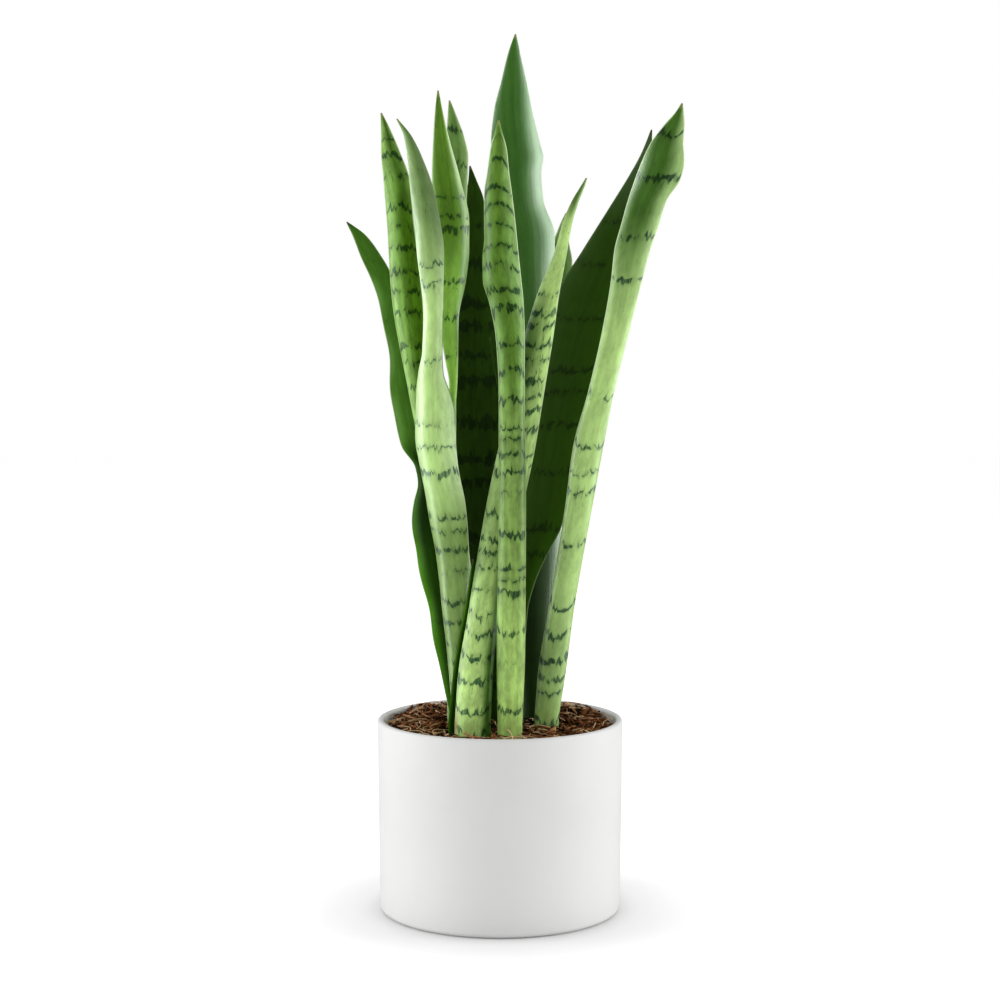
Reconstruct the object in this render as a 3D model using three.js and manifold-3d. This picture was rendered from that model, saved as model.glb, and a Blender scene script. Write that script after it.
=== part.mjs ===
import * as THREE from 'three';
import { mergeVertices } from 'three/addons/utils/BufferGeometryUtils.js';
import Module from 'manifold-3d';

const wasm = await Module();
wasm.setup();

// Potted snake plant in millimetres, +Z up.
// The pot stands on z = 0 with its axis on the origin, and its front faces -Y.

// Pot
const POT_HEIGHT = 140;
const RIM_RADIUS = 89;
const FOOT_RADIUS = 87.5;
const POT_WALL = 5;
const POT_FLOOR = 9;
const FOOT_ROUND = 4.5;
const LIP_ROUND = 2.2;
const INSIDE_ROUND = 6;
const POT_SEGMENTS = 60;
const ROUND_PIECES = 3;

// Soil, and the shredded bark and coir on it
const FIT_GAP = 0.3;
const SOIL_TOP = 125;
const MULCH_WALL_TOP = 134.5;
const MULCH_MIDDLE_TOP = 133;
const MULCH_RISE_TO_BACK = 0.035;
const MAT_RING_SHARES = [1, 0.8, 0.5, 0.25, 0];
const FIRST_DRAW = 7;

// Two low heaps against the back wall: [x, y, height, radius]
const MULCH_HEAPS = [
  [-57, 53, 6, 19],
  [55, 54, 6, 21],
];

// Chips: each range is [least, most]
const CHIP_COUNT = 30;
const CHIP_LENGTHS = [9, 19];
const CHIP_WIDTHS = [4, 8];
const CHIP_THICKNESSES = [2.2, 4];
const CHIP_TAPER = 0.6;
const CHIP_LARGEST_TILT = 0.3;
const CHIP_LIFTS = [0.2, 1.4];
const CHIP_SPREAD = 78;

// Curly fibres, both ends sunk in the mat
const FIBRE_COUNT = 12;
const FIBRE_LENGTHS = [14, 26];
const FIBRE_RISES = [1.5, 4.5];
const FIBRE_BEND = 5;
const FIBRE_RADIUS = 0.7;
const FIBRE_SINK = 2.5;
const FIBRE_STEPS = 4;
const FIBRE_SPREAD = 72;

// Leaves
const LEAF_FOOT = 100;
const STRAIGHT_FOOT_TOP = 140;
const HOLE_GAP = 0.35;
const HOLE_TOP = 170;
const MARGIN_THICKNESS = 0.9;
const FOOT_THICKNESS = 3.2;
const TIP_THICKNESS = 1;
const RING_STEP = 25;
const LEAST_ROLL = 1;
const WAVE_FADE = 60;
const RIGHT_MARGIN_LAG = 130;

const POT_COLOUR = 0xeeeeec;
const SOIL_COLOUR = 0x2b1d14;
const MULCH_COLOUR = 0x5a3722;
const POT_ROUGHNESS = 0.6;
const SOIL_ROUGHNESS = 0.95;
const MULCH_ROUGHNESS = 0.9;
const LEAF_ROUGHNESS = 0.4;

// Every leaf is a list of level cuts through the blade, from the soil to the tip.
// A cut is [height, left edge x, right edge x, chord y, roll, turn].
// The roll is half the angle that the cut bends through, in degrees. A positive roll
// brings the midrib towards the front and a negative roll takes it to the back.
// The turn swings the chord about the vertical, in degrees, with the right edge going back.
// The wave is [swing of the margins to front and back, wavelength, start angle in degrees].
const LEAVES = {
  leaf_front_centre: {
    colour: 0x7fab5a,
    strips: 6,
    wave: [0.5, 70, 20],
    cuts: [
      [140, -1.5, 15.5, -30, 78, 0],
      [196, -2, 17.5, -30, 76, 0],
      [296, -0.5, 18, -33, 74, 0],
      [376, -0.5, 17, -38, 70, 0],
      [415, -2.5, 17, -42, 66, 0],
      [440, -7, 16, -45, 62, -8],
      [455, -11.5, 14.5, -47, 66, -15],
      [470, -12, 13, -49, 68, -18],
      [485, -10.5, 11.5, -51, 64, -16],
      [514, -10.5, 8, -56, 56, -10],
      [529, -8.5, 6, -59, 50, -6],
      [544, -6.5, 4.5, -62, 42, 0],
      [555, -3.5, 1.5, -64, 36, 0],
      [563.5, -1.4, -0.6, -66, 25, 0],
    ],
  },
  leaf_front_leaning: {
    colour: 0x86b060,
    strips: 6,
    wave: [0.4, 80, 110],
    cuts: [
      [140, -32, -7, -28, 66, 0],
      [176, -29.5, -5.5, -27, 66, 0],
      [216, -23, -0.5, -23.5, 64, 0],
      [256, -16.5, 7, -19.5, 62, 0],
      [296, -9.5, 16, -17, 58, 0],
      [336, -1, 24.5, -16, 55, 0],
      [376, 8.5, 31, -16.5, 52, 0],
      [416, 17.5, 37.5, -19, 50, 2],
      [446, 26.5, 41.5, -22, 48, 6],
      [476, 38.5, 47, -26, 44, 12],
      [496, 44, 50.5, -30, 40, 14],
      [511, 50.5, 55, -33, 36, 12],
      [521, 56.5, 59, -36, 30, 8],
      [526.5, 59.8, 60.6, -38, 25, 0],
    ],
  },
  leaf_front_slim: {
    colour: 0x5f8f3c,
    strips: 4,
    wave: [0.3, 60, 0],
    thickness: [1.5, 1.0],
    cuts: [
      [140, -37, -33, -22, 35, 30],
      [157, -35.5, -31, -22, 35, 30],
      [176, -33.5, -29.5, -22, 35, 30],
      [196, -30.5, -26.5, -21.5, 35, 25],
      [226, -24.5, -21, -20.5, 30, 20],
      [246, -21.5, -19, -20.5, 25, 10],
      [258, -19.7, -18.9, -20.5, 20, 0],
    ],
  },
  leaf_left_twisted: {
    colour: 0x8fb96a,
    strips: 6,
    wave: [0.8, 60, 200],
    cuts: [
      [140, -33, -19, -14, 60, -6],
      [176, -36.5, -21, -14, 60, -8],
      [216, -40.5, -21.5, -14, 62, -10],
      [256, -45, -22, -14, 64, -14],
      [296, -52, -25, -14, 66, -18],
      [326, -57.5, -30, -15, 66, -21],
      [346, -60, -32, -16, 66, -22],
      [361, -60, -32, -18, 64, -22],
      [376, -59.5, -35, -20, 58, -20],
      [391, -57.5, -40, -22, 50, -18],
      [406, -54.5, -41, -24, 44, -15],
      [436, -54, -40, -29, 39, -12],
      [476, -58, -39.5, -36, 38, -12],
      [515, -61.5, -45.5, -44, 38, -12],
      [540, -64, -54, -49, 34, -8],
      [554, -66, -61, -53, 30, -4],
      [565.5, -71.2, -70.4, -56, 20, 0],
    ],
  },
  leaf_left_upright: {
    colour: 0x5f9440,
    strips: 6,
    wave: [0.6, 75, 60],
    cuts: [
      [140, -34, -18, -5, 42, -10],
      [217, -40.5, -27, -5, 45, -12],
      [297, -51.5, -36, -7, 48, -14],
      [377, -65, -48.5, -9, 50, -16],
      [437, -76, -54.5, -12, 48, -16],
      [497, -80, -61, -16, 44, -14],
      [527, -82, -64, -18, 38, -10],
      [547, -83.5, -71, -20, 32, -6],
      [562, -83.5, -77.5, -21, 26, 0],
      [573, -83.8, -83.0, -22, 20, 0],
    ],
  },
  leaf_left_wavy: {
    colour: 0x3f6f30,
    strips: 6,
    wave: [1.4, 46, 0],
    cuts: [
      [140, -36, -22, 2, 36, -12],
      [157, -39.5, -23, 2.5, 36, -14],
      [177, -44, -25, 3, 36, -16],
      [197, -48, -27, 3.5, 36, -18],
      [217, -51.5, -30, 4, 36, -20],
      [237, -56, -34, 5, 35, -22],
      [257, -60.5, -38, 6, 34, -24],
      [277, -63.5, -42, 7, 32, -26],
      [297, -62, -46.5, 9, 30, -26],
      [309, -60, -48, 9.5, 30, -26],
      [322, -61.5, -51, 11, 30, -25],
      [337, -71, -54.5, 13, 30, -22],
      [358, -77, -59, 16, 30, -20],
      [378, -79.5, -62.5, 19, 30, -18],
      [398, -80.5, -66, 22, 30, -18],
      [419, -83.5, -68.5, 26, 30, -16],
      [439, -88, -72, 30, 28, -14],
      [460, -95, -78.5, 34, 28, -12],
      [475, -102, -87, 38, 26, -8],
      [491, -108.5, -99, 42, 22, -4],
      [500.5, -113.0, -112.2, 44, 20, 0],
    ],
  },
  leaf_middle_left: {
    colour: 0x5c9438,
    strips: 6,
    wave: [0.5, 90, 150],
    cuts: [
      [140, -29, -12, 9, 38, 0],
      [217, -34.5, -18, 7, 38, 0],
      [297, -39.5, -27, 5, 34, 4],
      [337, -38.5, -32, 4, 30, 8],
      [362, -36.5, -32, 3, 30, 10],
      [383, -36.5, -31, 2, 30, 10],
      [398, -39, -30.5, 1.5, 30, 8],
      [428, -44, -30, 1, 36, 6],
      [458, -47, -24.5, 1, 56, 7],
      [478, -48, -22.5, 1, 60, 7],
      [498, -48.5, -22.5, 1.5, 60, 7],
      [528, -48.5, -28.5, 2, 48, 6],
      [559, -47.5, -37, 3, 38, 4],
      [579, -46, -41.5, 4, 24, 0],
      [591.5, -44.6, -43.8, 4, 20, 0],
    ],
  },
  leaf_middle_left_rear: {
    colour: 0x4f8a34,
    strips: 4,
    wave: [0.4, 80, 240],
    cuts: [
      [140, -38.5, -24, 18, 36, 0],
      [217, -38.5, -25.5, 16, 34, 0],
      [298, -38, -30, 13, 30, 12],
      [338, -37, -32.5, 12, 26, 30],
      [363, -36, -32, 11.5, 24, 42],
      [398, -37.5, -32, 11, 24, 34],
      [438, -38.5, -30, 11, 26, 18],
      [479, -38.5, -26.5, 12, 28, 6],
      [519, -39, -24, 14, 28, 0],
      [545, -39, -23, 15.5, 28, 0],
      [560, -38.5, -26, 16.5, 26, 0],
      [575, -37.5, -31.5, 17.5, 24, 0],
      [586, -36.8, -36.0, 18, 20, 0],
    ],
  },
  leaf_centre_dark: {
    colour: 0x284a1c,
    strips: 6,
    wave: [0.8, 85, 30],
    cuts: [
      [140, -19, 0.5, 16, -40, 0],
      [218, -23, 0.5, 17, -38, 0],
      [298, -28.5, 3.5, 19, -34, 0],
      [358, -33, 4, 22, -32, 0],
      [399, -33.5, 2, 25, -30, 0],
      [439, -31, -3, 28, -28, 0],
      [480, -27.5, -8.5, 32, -28, 0],
      [500, -26.5, -10.5, 34.5, -26, 0],
      [516, -25.5, -12, 36.5, -24, 0],
      [531, -23, -17.5, 39, -22, 0],
      [541, -22.4, -21.6, 40, -20, 0],
    ],
  },
  leaf_centre_young: {
    colour: 0x4c7a30,
    strips: 4,
    wave: [0.2, 80, 0],
    thickness: [2.0, 1.0],
    cuts: [
      [140, 0, 9, -14, 40, 0],
      [237, 0, 8.5, -12, 38, 0],
      [317, 0.5, 7, -10.5, 34, 0],
      [367, -0.5, 3, -10.5, 30, 0],
      [397, -4.5, -2.5, -10.5, 26, 0],
      [416, -7.8, -7.0, -10.5, 20, 0],
    ],
  },
  leaf_right_broad: {
    colour: 0x2f5c1e,
    strips: 6,
    wave: [0.9, 95, 80],
    cuts: [
      [140, 3, 17, 3, -34, 0],
      [177, 4, 17.5, 4, -34, 0],
      [217, 6.5, 20, 5, -34, 0],
      [237, 8, 25, 6, -33, 0],
      [257, 9.5, 33.5, 7, -32, 0],
      [277, 11, 44, 8, -30, 0],
      [297, 13, 50, 9, -30, 2],
      [338, 17.5, 61.5, 11, -28, 4],
      [378, 23, 71, 13, -28, 6],
      [418, 32.5, 80.5, 15, -28, 8],
      [449, 42, 88.5, 16.5, -26, 8],
      [479, 60, 95.5, 18, -24, 6],
      [509, 79, 102, 19.5, -22, 4],
      [535, 95, 107, 20.5, -20, 0],
      [550, 103, 109.5, 21, -20, 0],
      [565.5, 109.2, 110.0, 22, -20, 0],
    ],
  },
  leaf_right_tall: {
    colour: 0x8cb468,
    strips: 6,
    wave: [0.5, 90, 310],
    cuts: [
      [140, 25.5, 42.5, 4, 72, 0],
      [177, 28.5, 48, 2.5, 70, 0],
      [217, 35, 53, 0, 68, 0],
      [257, 41.5, 59.5, -3, 66, 0],
      [297, 47.5, 66.5, -7, 64, 0],
      [337, 52.5, 73.5, -11, 60, -2],
      [377, 63, 81, -16, 56, -4],
      [417, 72, 90.5, -21, 52, -4],
      [456, 78.5, 100, -27, 48, -4],
      [476, 80.5, 105, -30, 46, -4],
      [496, 85.5, 111.5, -34, 44, -4],
      [511, 89.5, 116, -37, 42, -6],
      [525, 94, 125, -41, 38, -10],
      [537, 98.5, 127.5, -44, 34, -12],
      [550, 104.5, 126.5, -48, 30, -8],
      [562, 113.5, 127, -52, 26, -4],
      [571, 121.5, 126, -55, 22, 0],
      [576, 124.5, 125.3, -57, 20, 0],
    ],
  },
  leaf_rear_tallest: {
    colour: 0x47803a,
    strips: 6,
    wave: [0.9, 110, 170],
    cuts: [
      [140, 16.5, 39, 25, 40, 6],
      [218, 11, 42, 26, 40, 8],
      [298, 5, 45, 30, 40, 10],
      [379, 0.5, 43, 36, 40, 12],
      [440, -2, 40.5, 42, 38, 12],
      [470, -3.5, 40, 45.5, 37, 12],
      [491, -4.5, 40, 48.5, 36, 12],
      [517, -5.5, 32, 53, 36, 12],
      [537, -6, 30.5, 56, 36, 12],
      [549, -6, 32, 58.5, 36, 12],
      [558, -6.5, 30, 60, 36, 12],
      [584, -4, 23.5, 65, 36, 10],
      [605, 1, 19.5, 69, 34, 8],
      [626, 6, 15, 72.5, 30, 4],
      [641, 11.1, 11.9, 75, 20, 0],
    ],
  },
  leaf_rear_short: {
    colour: 0x5a8c3a,
    strips: 4,
    wave: [0.6, 90, 0],
    cuts: [
      [140, 22, 37.5, 38, -34, 0],
      [219, 23.5, 39, 41, -32, 0],
      [299, 27, 42.5, 47, -30, 0],
      [380, 30, 48.5, 55, -28, 0],
      [441, 33, 53, 63, -26, 0],
      [472, 36.5, 54, 68, -24, 0],
      [487, 40, 51.5, 70, -22, 0],
      [500, 45, 50.5, 72, -20, 0],
      [508.5, 49.0, 49.8, 73, -20, 0],
    ],
  },
};

const group = new THREE.Group();

function addNode(name, geometry, colour, roughness) {
  const material = new THREE.MeshStandardMaterial({ color: colour, roughness, metalness: 0 });
  const mesh = new THREE.Mesh(geometry, material);
  mesh.name = name;
  group.add(mesh);
}

// Joining and cutting of closed shapes

function toSolid(geometry) {
  const plain = geometry.clone();
  plain.deleteAttribute('normal');
  plain.deleteAttribute('uv');
  const merged = mergeVertices(plain, 1e-4);
  return new wasm.Manifold(new wasm.Mesh({
    numProp: 3,
    vertProperties: new Float32Array(merged.attributes.position.array),
    triVerts: new Uint32Array(merged.index.array),
  }));
}

// Only the largest closed skin is kept, so no crumb floats free and no pocket is sealed in.
function toGeometry(solid) {
  const mesh = solid.getMesh();
  const owner = Array.from({ length: mesh.vertProperties.length / 3 }, (_, i) => i);
  const find = (i) => {
    let root = i;
    while (owner[root] !== root) root = owner[root];
    owner[i] = root;
    return root;
  };
  for (let t = 0; t < mesh.triVerts.length; t += 3) {
    owner[find(mesh.triVerts[t + 1])] = find(mesh.triVerts[t]);
    owner[find(mesh.triVerts[t + 2])] = find(mesh.triVerts[t]);
  }
  const skins = new Map();
  for (let t = 0; t < mesh.triVerts.length; t += 3) {
    const root = find(mesh.triVerts[t]);
    if (!skins.has(root)) skins.set(root, []);
    skins.get(root).push(...mesh.triVerts.slice(t, t + 3));
  }
  const largest = [...skins.values()].sort((a, b) => b.length - a.length)[0];
  const geometry = new THREE.BufferGeometry();
  geometry.setAttribute('position', new THREE.BufferAttribute(mesh.vertProperties, 3));
  geometry.setIndex(largest);
  geometry.computeVertexNormals();
  return geometry;
}

// A lathe turns about +Y, so the finished shape is tipped up to +Z.
function turned(profile) {
  const points = profile.map(([radius, height]) => new THREE.Vector2(radius, height));
  const geometry = new THREE.LatheGeometry(points, POT_SEGMENTS);
  geometry.rotateX(Math.PI / 2);
  return geometry;
}

// Corner points of a rounded edge, about a centre, between two angles in degrees.
function rounded(centreR, centreZ, radius, fromAngle, toAngle) {
  const points = [];
  for (let i = 0; i <= ROUND_PIECES; i += 1) {
    const degrees = THREE.MathUtils.lerp(fromAngle, toAngle, i / ROUND_PIECES);
    const angle = THREE.MathUtils.degToRad(degrees);
    points.push([centreR + radius * Math.cos(angle), centreZ + radius * Math.sin(angle)]);
  }
  return points;
}

// The inside wall follows the slight taper of the outside.
function insideRadius(z) {
  return THREE.MathUtils.lerp(FOOT_RADIUS, RIM_RADIUS, z / POT_HEIGHT) - POT_WALL;
}

function makePot() {
  const insideFoot = insideRadius(POT_FLOOR) - INSIDE_ROUND;
  return turned([
    [0, 0],
    ...rounded(FOOT_RADIUS - FOOT_ROUND, FOOT_ROUND, FOOT_ROUND, -90, 0),
    ...rounded(RIM_RADIUS - LIP_ROUND, POT_HEIGHT - LIP_ROUND, LIP_ROUND, 0, 90),
    ...rounded(RIM_RADIUS - POT_WALL + LIP_ROUND, POT_HEIGHT - LIP_ROUND, LIP_ROUND, 90, 180),
    ...rounded(insideFoot, POT_FLOOR + INSIDE_ROUND, INSIDE_ROUND, 0, -90),
    [0, POT_FLOOR],
  ]);
}

// Leaf blades

// Smooth value of every column of the cuts at one height, without overshoot.
function cutAt(cuts, z) {
  const last = cuts.length - 1;
  if (z <= cuts[0][0]) return cuts[0].slice(1);
  if (z >= cuts[last][0]) return cuts[last].slice(1);
  const i = cuts.findIndex((cut) => cut[0] > z) - 1;
  const span = cuts[i + 1][0] - cuts[i][0];
  const t = (z - cuts[i][0]) / span;
  const values = [];
  for (let column = 1; column < cuts[0].length; column += 1) {
    const slopes = [i - 1, i, i + 1].map((k) => {
      if (k < 0 || k >= last) return null;
      return (cuts[k + 1][column] - cuts[k][column]) / (cuts[k + 1][0] - cuts[k][0]);
    });
    const start = blendSlopes(slopes[0], slopes[1]) * span;
    const end = blendSlopes(slopes[1], slopes[2]) * span;
    const a = cuts[i][column];
    const b = cuts[i + 1][column];
    const swing = t * t * (3 - 2 * t);
    values.push(a + (b - a) * swing + start * t * (1 - t) ** 2 - end * t * t * (1 - t));
  }
  return values;
}

function blendSlopes(before, after) {
  if (before === null) return after;
  if (after === null) return before;
  if (before * after <= 0) return 0;
  return (2 * before * after) / (before + after);
}

// Ring of corner points of a blade at one height: the front face from left to right,
// then the back face from right to left.
function bladeRing(leaf, z, gap) {
  const { cuts, strips, wave } = leaf;
  const [left, right, chordY, rollDegrees, turnDegrees] = cutAt(cuts, z);
  const tipZ = cuts[cuts.length - 1][0];
  const turn = THREE.MathUtils.degToRad(turnDegrees);
  const steepRoll = Math.max(Math.abs(rollDegrees), LEAST_ROLL) * (rollDegrees < 0 ? -1 : 1);
  const roll = THREE.MathUtils.degToRad(steepRoll);
  const radius = (right - left) / 2 / Math.cos(turn) / Math.sin(roll);
  const along = new THREE.Vector2(Math.cos(turn), Math.sin(turn));
  const forward = new THREE.Vector2(Math.sin(turn), -Math.cos(turn));
  const middle = new THREE.Vector2((left + right) / 2, chordY);
  const [footThickness, tipThickness] = leaf.thickness ?? [FOOT_THICKNESS, TIP_THICKNESS];
  const grown = THREE.MathUtils.clamp((z - STRAIGHT_FOOT_TOP) / (tipZ - STRAIGHT_FOOT_TOP), 0, 1);
  const middleThickness = THREE.MathUtils.lerp(footThickness, tipThickness, Math.sqrt(grown));
  const waveStart = THREE.MathUtils.smoothstep(z, STRAIGHT_FOOT_TOP, STRAIGHT_FOOT_TOP + WAVE_FADE);
  const waveEnd = THREE.MathUtils.smoothstep(tipZ - z, 0, WAVE_FADE);
  const front = [];
  const back = [];
  for (let j = 0; j <= strips; j += 1) {
    const across = -1 + (2 * j) / strips;
    const angle = roll * across;
    const phase = THREE.MathUtils.degToRad(wave[2] + (across > 0 ? RIGHT_MARGIN_LAG : 0));
    const swing = wave[0] * Math.sin((2 * Math.PI * z) / wave[1] + phase) * waveStart * waveEnd;
    const point = middle.clone();
    point.addScaledVector(along, radius * Math.sin(angle));
    point.addScaledVector(forward, radius * (Math.cos(angle) - Math.cos(roll)));
    point.addScaledVector(forward, swing * across * across);
    const outward = along.clone().multiplyScalar(Math.sin(angle));
    outward.addScaledVector(forward, Math.cos(angle));
    const half = THREE.MathUtils.lerp(middleThickness, MARGIN_THICKNESS, across * across) / 2 + gap;
    const sideways = along.clone().multiplyScalar(Math.cos(angle));
    sideways.addScaledVector(forward, -Math.sin(angle));
    if (Math.abs(across) === 1) point.addScaledVector(sideways, across * gap);
    const frontPoint = point.clone().addScaledVector(outward, half);
    const backPoint = point.clone().addScaledVector(outward, -half);
    front.push([frontPoint.x, frontPoint.y, z]);
    back.push([backPoint.x, backPoint.y, z]);
  }
  return [...front, ...back.reverse()];
}

// Both faces of a blade are split along the same diagonals.
function skinRings(rings, strips) {
  const size = rings[0].length;
  const positions = rings.flat(2);
  const indices = [];
  const corner = (ring, j) => ring * size + (j % size);
  for (let ring = 0; ring < rings.length - 1; ring += 1) {
    for (let j = 0; j < size; j += 1) {
      const a = corner(ring, j);
      const b = corner(ring, j + 1);
      const c = corner(ring + 1, j + 1);
      const d = corner(ring + 1, j);
      if (j <= strips) indices.push(a, b, c, a, c, d);
      else indices.push(a, b, d, b, c, d);
    }
  }
  const top = rings.length - 1;
  for (let j = 0; j < strips; j += 1) {
    const mirror = size - 1 - j;
    indices.push(corner(0, j), corner(0, mirror), corner(0, mirror - 1));
    indices.push(corner(0, j), corner(0, mirror - 1), corner(0, j + 1));
    indices.push(corner(top, j), corner(top, mirror - 1), corner(top, mirror));
    indices.push(corner(top, j), corner(top, j + 1), corner(top, mirror - 1));
  }
  const geometry = new THREE.BufferGeometry();
  geometry.setAttribute('position', new THREE.Float32BufferAttribute(positions, 3));
  geometry.setIndex(indices);
  geometry.computeVertexNormals();
  return geometry;
}

function makeLeaf(leaf) {
  const heights = [LEAF_FOOT];
  leaf.cuts.forEach((cut, i) => {
    if (i > 0) {
      const from = leaf.cuts[i - 1][0];
      const pieces = Math.max(1, Math.round((cut[0] - from) / RING_STEP));
      for (let k = 1; k < pieces; k += 1) heights.push(from + ((cut[0] - from) * k) / pieces);
    }
    heights.push(cut[0]);
  });
  return skinRings(heights.map((z) => bladeRing(leaf, z, 0)), leaf.strips);
}

// Plain upright hole that one leaf stands in
function makeHole(leaf) {
  const footCut = bladeRing(leaf, LEAF_FOOT, HOLE_GAP);
  const rings = [LEAF_FOOT - HOLE_GAP, HOLE_TOP].map((z) => footCut.map(([x, y]) => [x, y, z]));
  return toSolid(skinRings(rings, leaf.strips));
}

function cutHoles(solid) {
  return Object.values(LEAVES).reduce((body, leaf) => body.subtract(makeHole(leaf)), solid);
}

function makeSoil() {
  const floorZ = POT_FLOOR + FIT_GAP;
  const footR = insideRadius(POT_FLOOR) - INSIDE_ROUND;
  return toGeometry(cutHoles(toSolid(turned([
    [0, floorZ],
    ...rounded(footR, floorZ + INSIDE_ROUND - FIT_GAP, INSIDE_ROUND - FIT_GAP, -90, 0),
    [insideRadius(SOIL_TOP) - FIT_GAP, SOIL_TOP],
    [0, SOIL_TOP],
  ]))));
}

// Shredded bark and coir on the soil

let draw = FIRST_DRAW;
function random() {
  draw = (draw * 16807) % 2147483647;
  return draw / 2147483647;
}

function randomBetween([least, most]) {
  return THREE.MathUtils.lerp(least, most, random());
}

// The dressing lies a little higher at the wall, at the back and in its two heaps.
function mulchTop(x, y) {
  const share = Math.min(Math.hypot(x, y) / insideRadius(SOIL_TOP), 1);
  const level = THREE.MathUtils.lerp(MULCH_MIDDLE_TOP, MULCH_WALL_TOP, share * share);
  const heaps = MULCH_HEAPS.map(([heapX, heapY, height, radius]) => {
    const away = Math.hypot(x - heapX, y - heapY);
    return height * THREE.MathUtils.smoothstep(radius - away, 0, radius);
  });
  return level + MULCH_RISE_TO_BACK * y + heaps[0] + heaps[1];
}

function randomSpot(farthest) {
  const radius = farthest * Math.sqrt(random());
  const angle = randomBetween([0, 2 * Math.PI]);
  return [radius * Math.cos(angle), radius * Math.sin(angle)];
}

// A flat chip, narrower at one end and lying at a slant
function makeChip() {
  const sides = [CHIP_LENGTHS, CHIP_WIDTHS, CHIP_THICKNESSES].map(randomBetween);
  const chip = new THREE.BoxGeometry(...sides);
  const position = chip.attributes.position;
  for (let i = 0; i < position.count; i += 1) {
    if (position.getX(i) > 0) position.setY(i, position.getY(i) * CHIP_TAPER);
  }
  chip.rotateX(randomBetween([-CHIP_LARGEST_TILT, CHIP_LARGEST_TILT]));
  chip.rotateY(randomBetween([-CHIP_LARGEST_TILT, CHIP_LARGEST_TILT]));
  chip.rotateZ(randomBetween([0, 2 * Math.PI]));
  const [x, y] = randomSpot(CHIP_SPREAD);
  chip.translate(x, y, mulchTop(x, y) + randomBetween(CHIP_LIFTS));
  return toSolid(chip);
}

function makeFibre() {
  const [x, y] = randomSpot(FIBRE_SPREAD);
  const top = mulchTop(x, y);
  const reach = randomBetween(FIBRE_LENGTHS) / 2;
  const bend = randomBetween([-FIBRE_BEND, FIBRE_BEND]);
  const path = new THREE.CatmullRomCurve3([
    new THREE.Vector3(-reach, 0, top - FIBRE_SINK),
    new THREE.Vector3(0, bend, top + randomBetween(FIBRE_RISES)),
    new THREE.Vector3(reach, 0, top - FIBRE_SINK),
  ]);
  const outline = new THREE.Shape();
  outline.moveTo(FIBRE_RADIUS, 0);
  outline.lineTo(0, FIBRE_RADIUS);
  outline.lineTo(-FIBRE_RADIUS, 0);
  outline.lineTo(0, -FIBRE_RADIUS);
  outline.closePath();
  const fibre = new THREE.ExtrudeGeometry(outline, { steps: FIBRE_STEPS, extrudePath: path });
  fibre.rotateZ(randomBetween([0, 2 * Math.PI]));
  fibre.translate(x, y, 0);
  return toSolid(fibre);
}

// The mat follows the dressing's uneven top. Chips and fibres are sunk in it.
function makeMulch() {
  const wallR = insideRadius(SOIL_TOP) - FIT_GAP;
  const underside = SOIL_TOP + FIT_GAP;
  const mat = turned([
    [0, underside],
    [wallR, underside],
    ...MAT_RING_SHARES.map((share) => [wallR * share, MULCH_MIDDLE_TOP]),
  ]);
  const position = mat.attributes.position;
  for (let i = 0; i < position.count; i += 1) {
    const isTop = position.getZ(i) > (underside + MULCH_MIDDLE_TOP) / 2;
    if (isTop) position.setZ(i, mulchTop(position.getX(i), position.getY(i)));
  }
  let body = toSolid(mat);
  for (let i = 0; i < CHIP_COUNT; i += 1) body = body.add(makeChip());
  for (let i = 0; i < FIBRE_COUNT; i += 1) body = body.add(makeFibre());
  const potInside = toSolid(turned([
    [0, underside],
    [wallR, underside],
    [wallR, HOLE_TOP],
    [0, HOLE_TOP],
  ]));
  return toGeometry(cutHoles(body.intersect(potInside)));
}

addNode('pot', makePot(), POT_COLOUR, POT_ROUGHNESS);
addNode('soil', makeSoil(), SOIL_COLOUR, SOIL_ROUGHNESS);
addNode('mulch', makeMulch(), MULCH_COLOUR, MULCH_ROUGHNESS);
for (const [name, leaf] of Object.entries(LEAVES)) {
  addNode(name, makeLeaf(leaf), leaf.colour, LEAF_ROUGHNESS);
}

export default group;
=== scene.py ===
"""Potted snake plant, dressed over its CAD frame."""

import math
import random

import bpy
import numpy as np
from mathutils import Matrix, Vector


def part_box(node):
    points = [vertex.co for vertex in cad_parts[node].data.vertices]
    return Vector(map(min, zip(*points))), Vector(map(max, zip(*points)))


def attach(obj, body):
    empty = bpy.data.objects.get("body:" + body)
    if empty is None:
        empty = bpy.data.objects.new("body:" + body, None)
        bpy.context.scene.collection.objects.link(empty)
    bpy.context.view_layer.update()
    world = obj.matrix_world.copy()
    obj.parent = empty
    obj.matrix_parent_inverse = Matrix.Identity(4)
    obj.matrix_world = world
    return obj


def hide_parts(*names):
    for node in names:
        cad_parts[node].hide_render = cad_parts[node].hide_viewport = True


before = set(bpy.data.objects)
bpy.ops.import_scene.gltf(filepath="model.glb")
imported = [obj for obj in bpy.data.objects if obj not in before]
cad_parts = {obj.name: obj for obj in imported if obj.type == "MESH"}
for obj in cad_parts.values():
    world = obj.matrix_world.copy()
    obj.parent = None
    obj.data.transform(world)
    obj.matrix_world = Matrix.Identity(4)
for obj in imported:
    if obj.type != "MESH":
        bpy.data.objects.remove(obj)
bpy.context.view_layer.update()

MM = 0.001

# Pot, in millimetres
POT_HEIGHT = 140
RIM_RADIUS = 89
FOOT_RADIUS = 87.5
POT_WALL = 5
POT_FLOOR = 9
FOOT_ROUND = 4.5
LIP_ROUND = 2.2
INSIDE_ROUND = 6
POT_SEGMENTS = 192
ROUND_PIECES = 8

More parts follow.
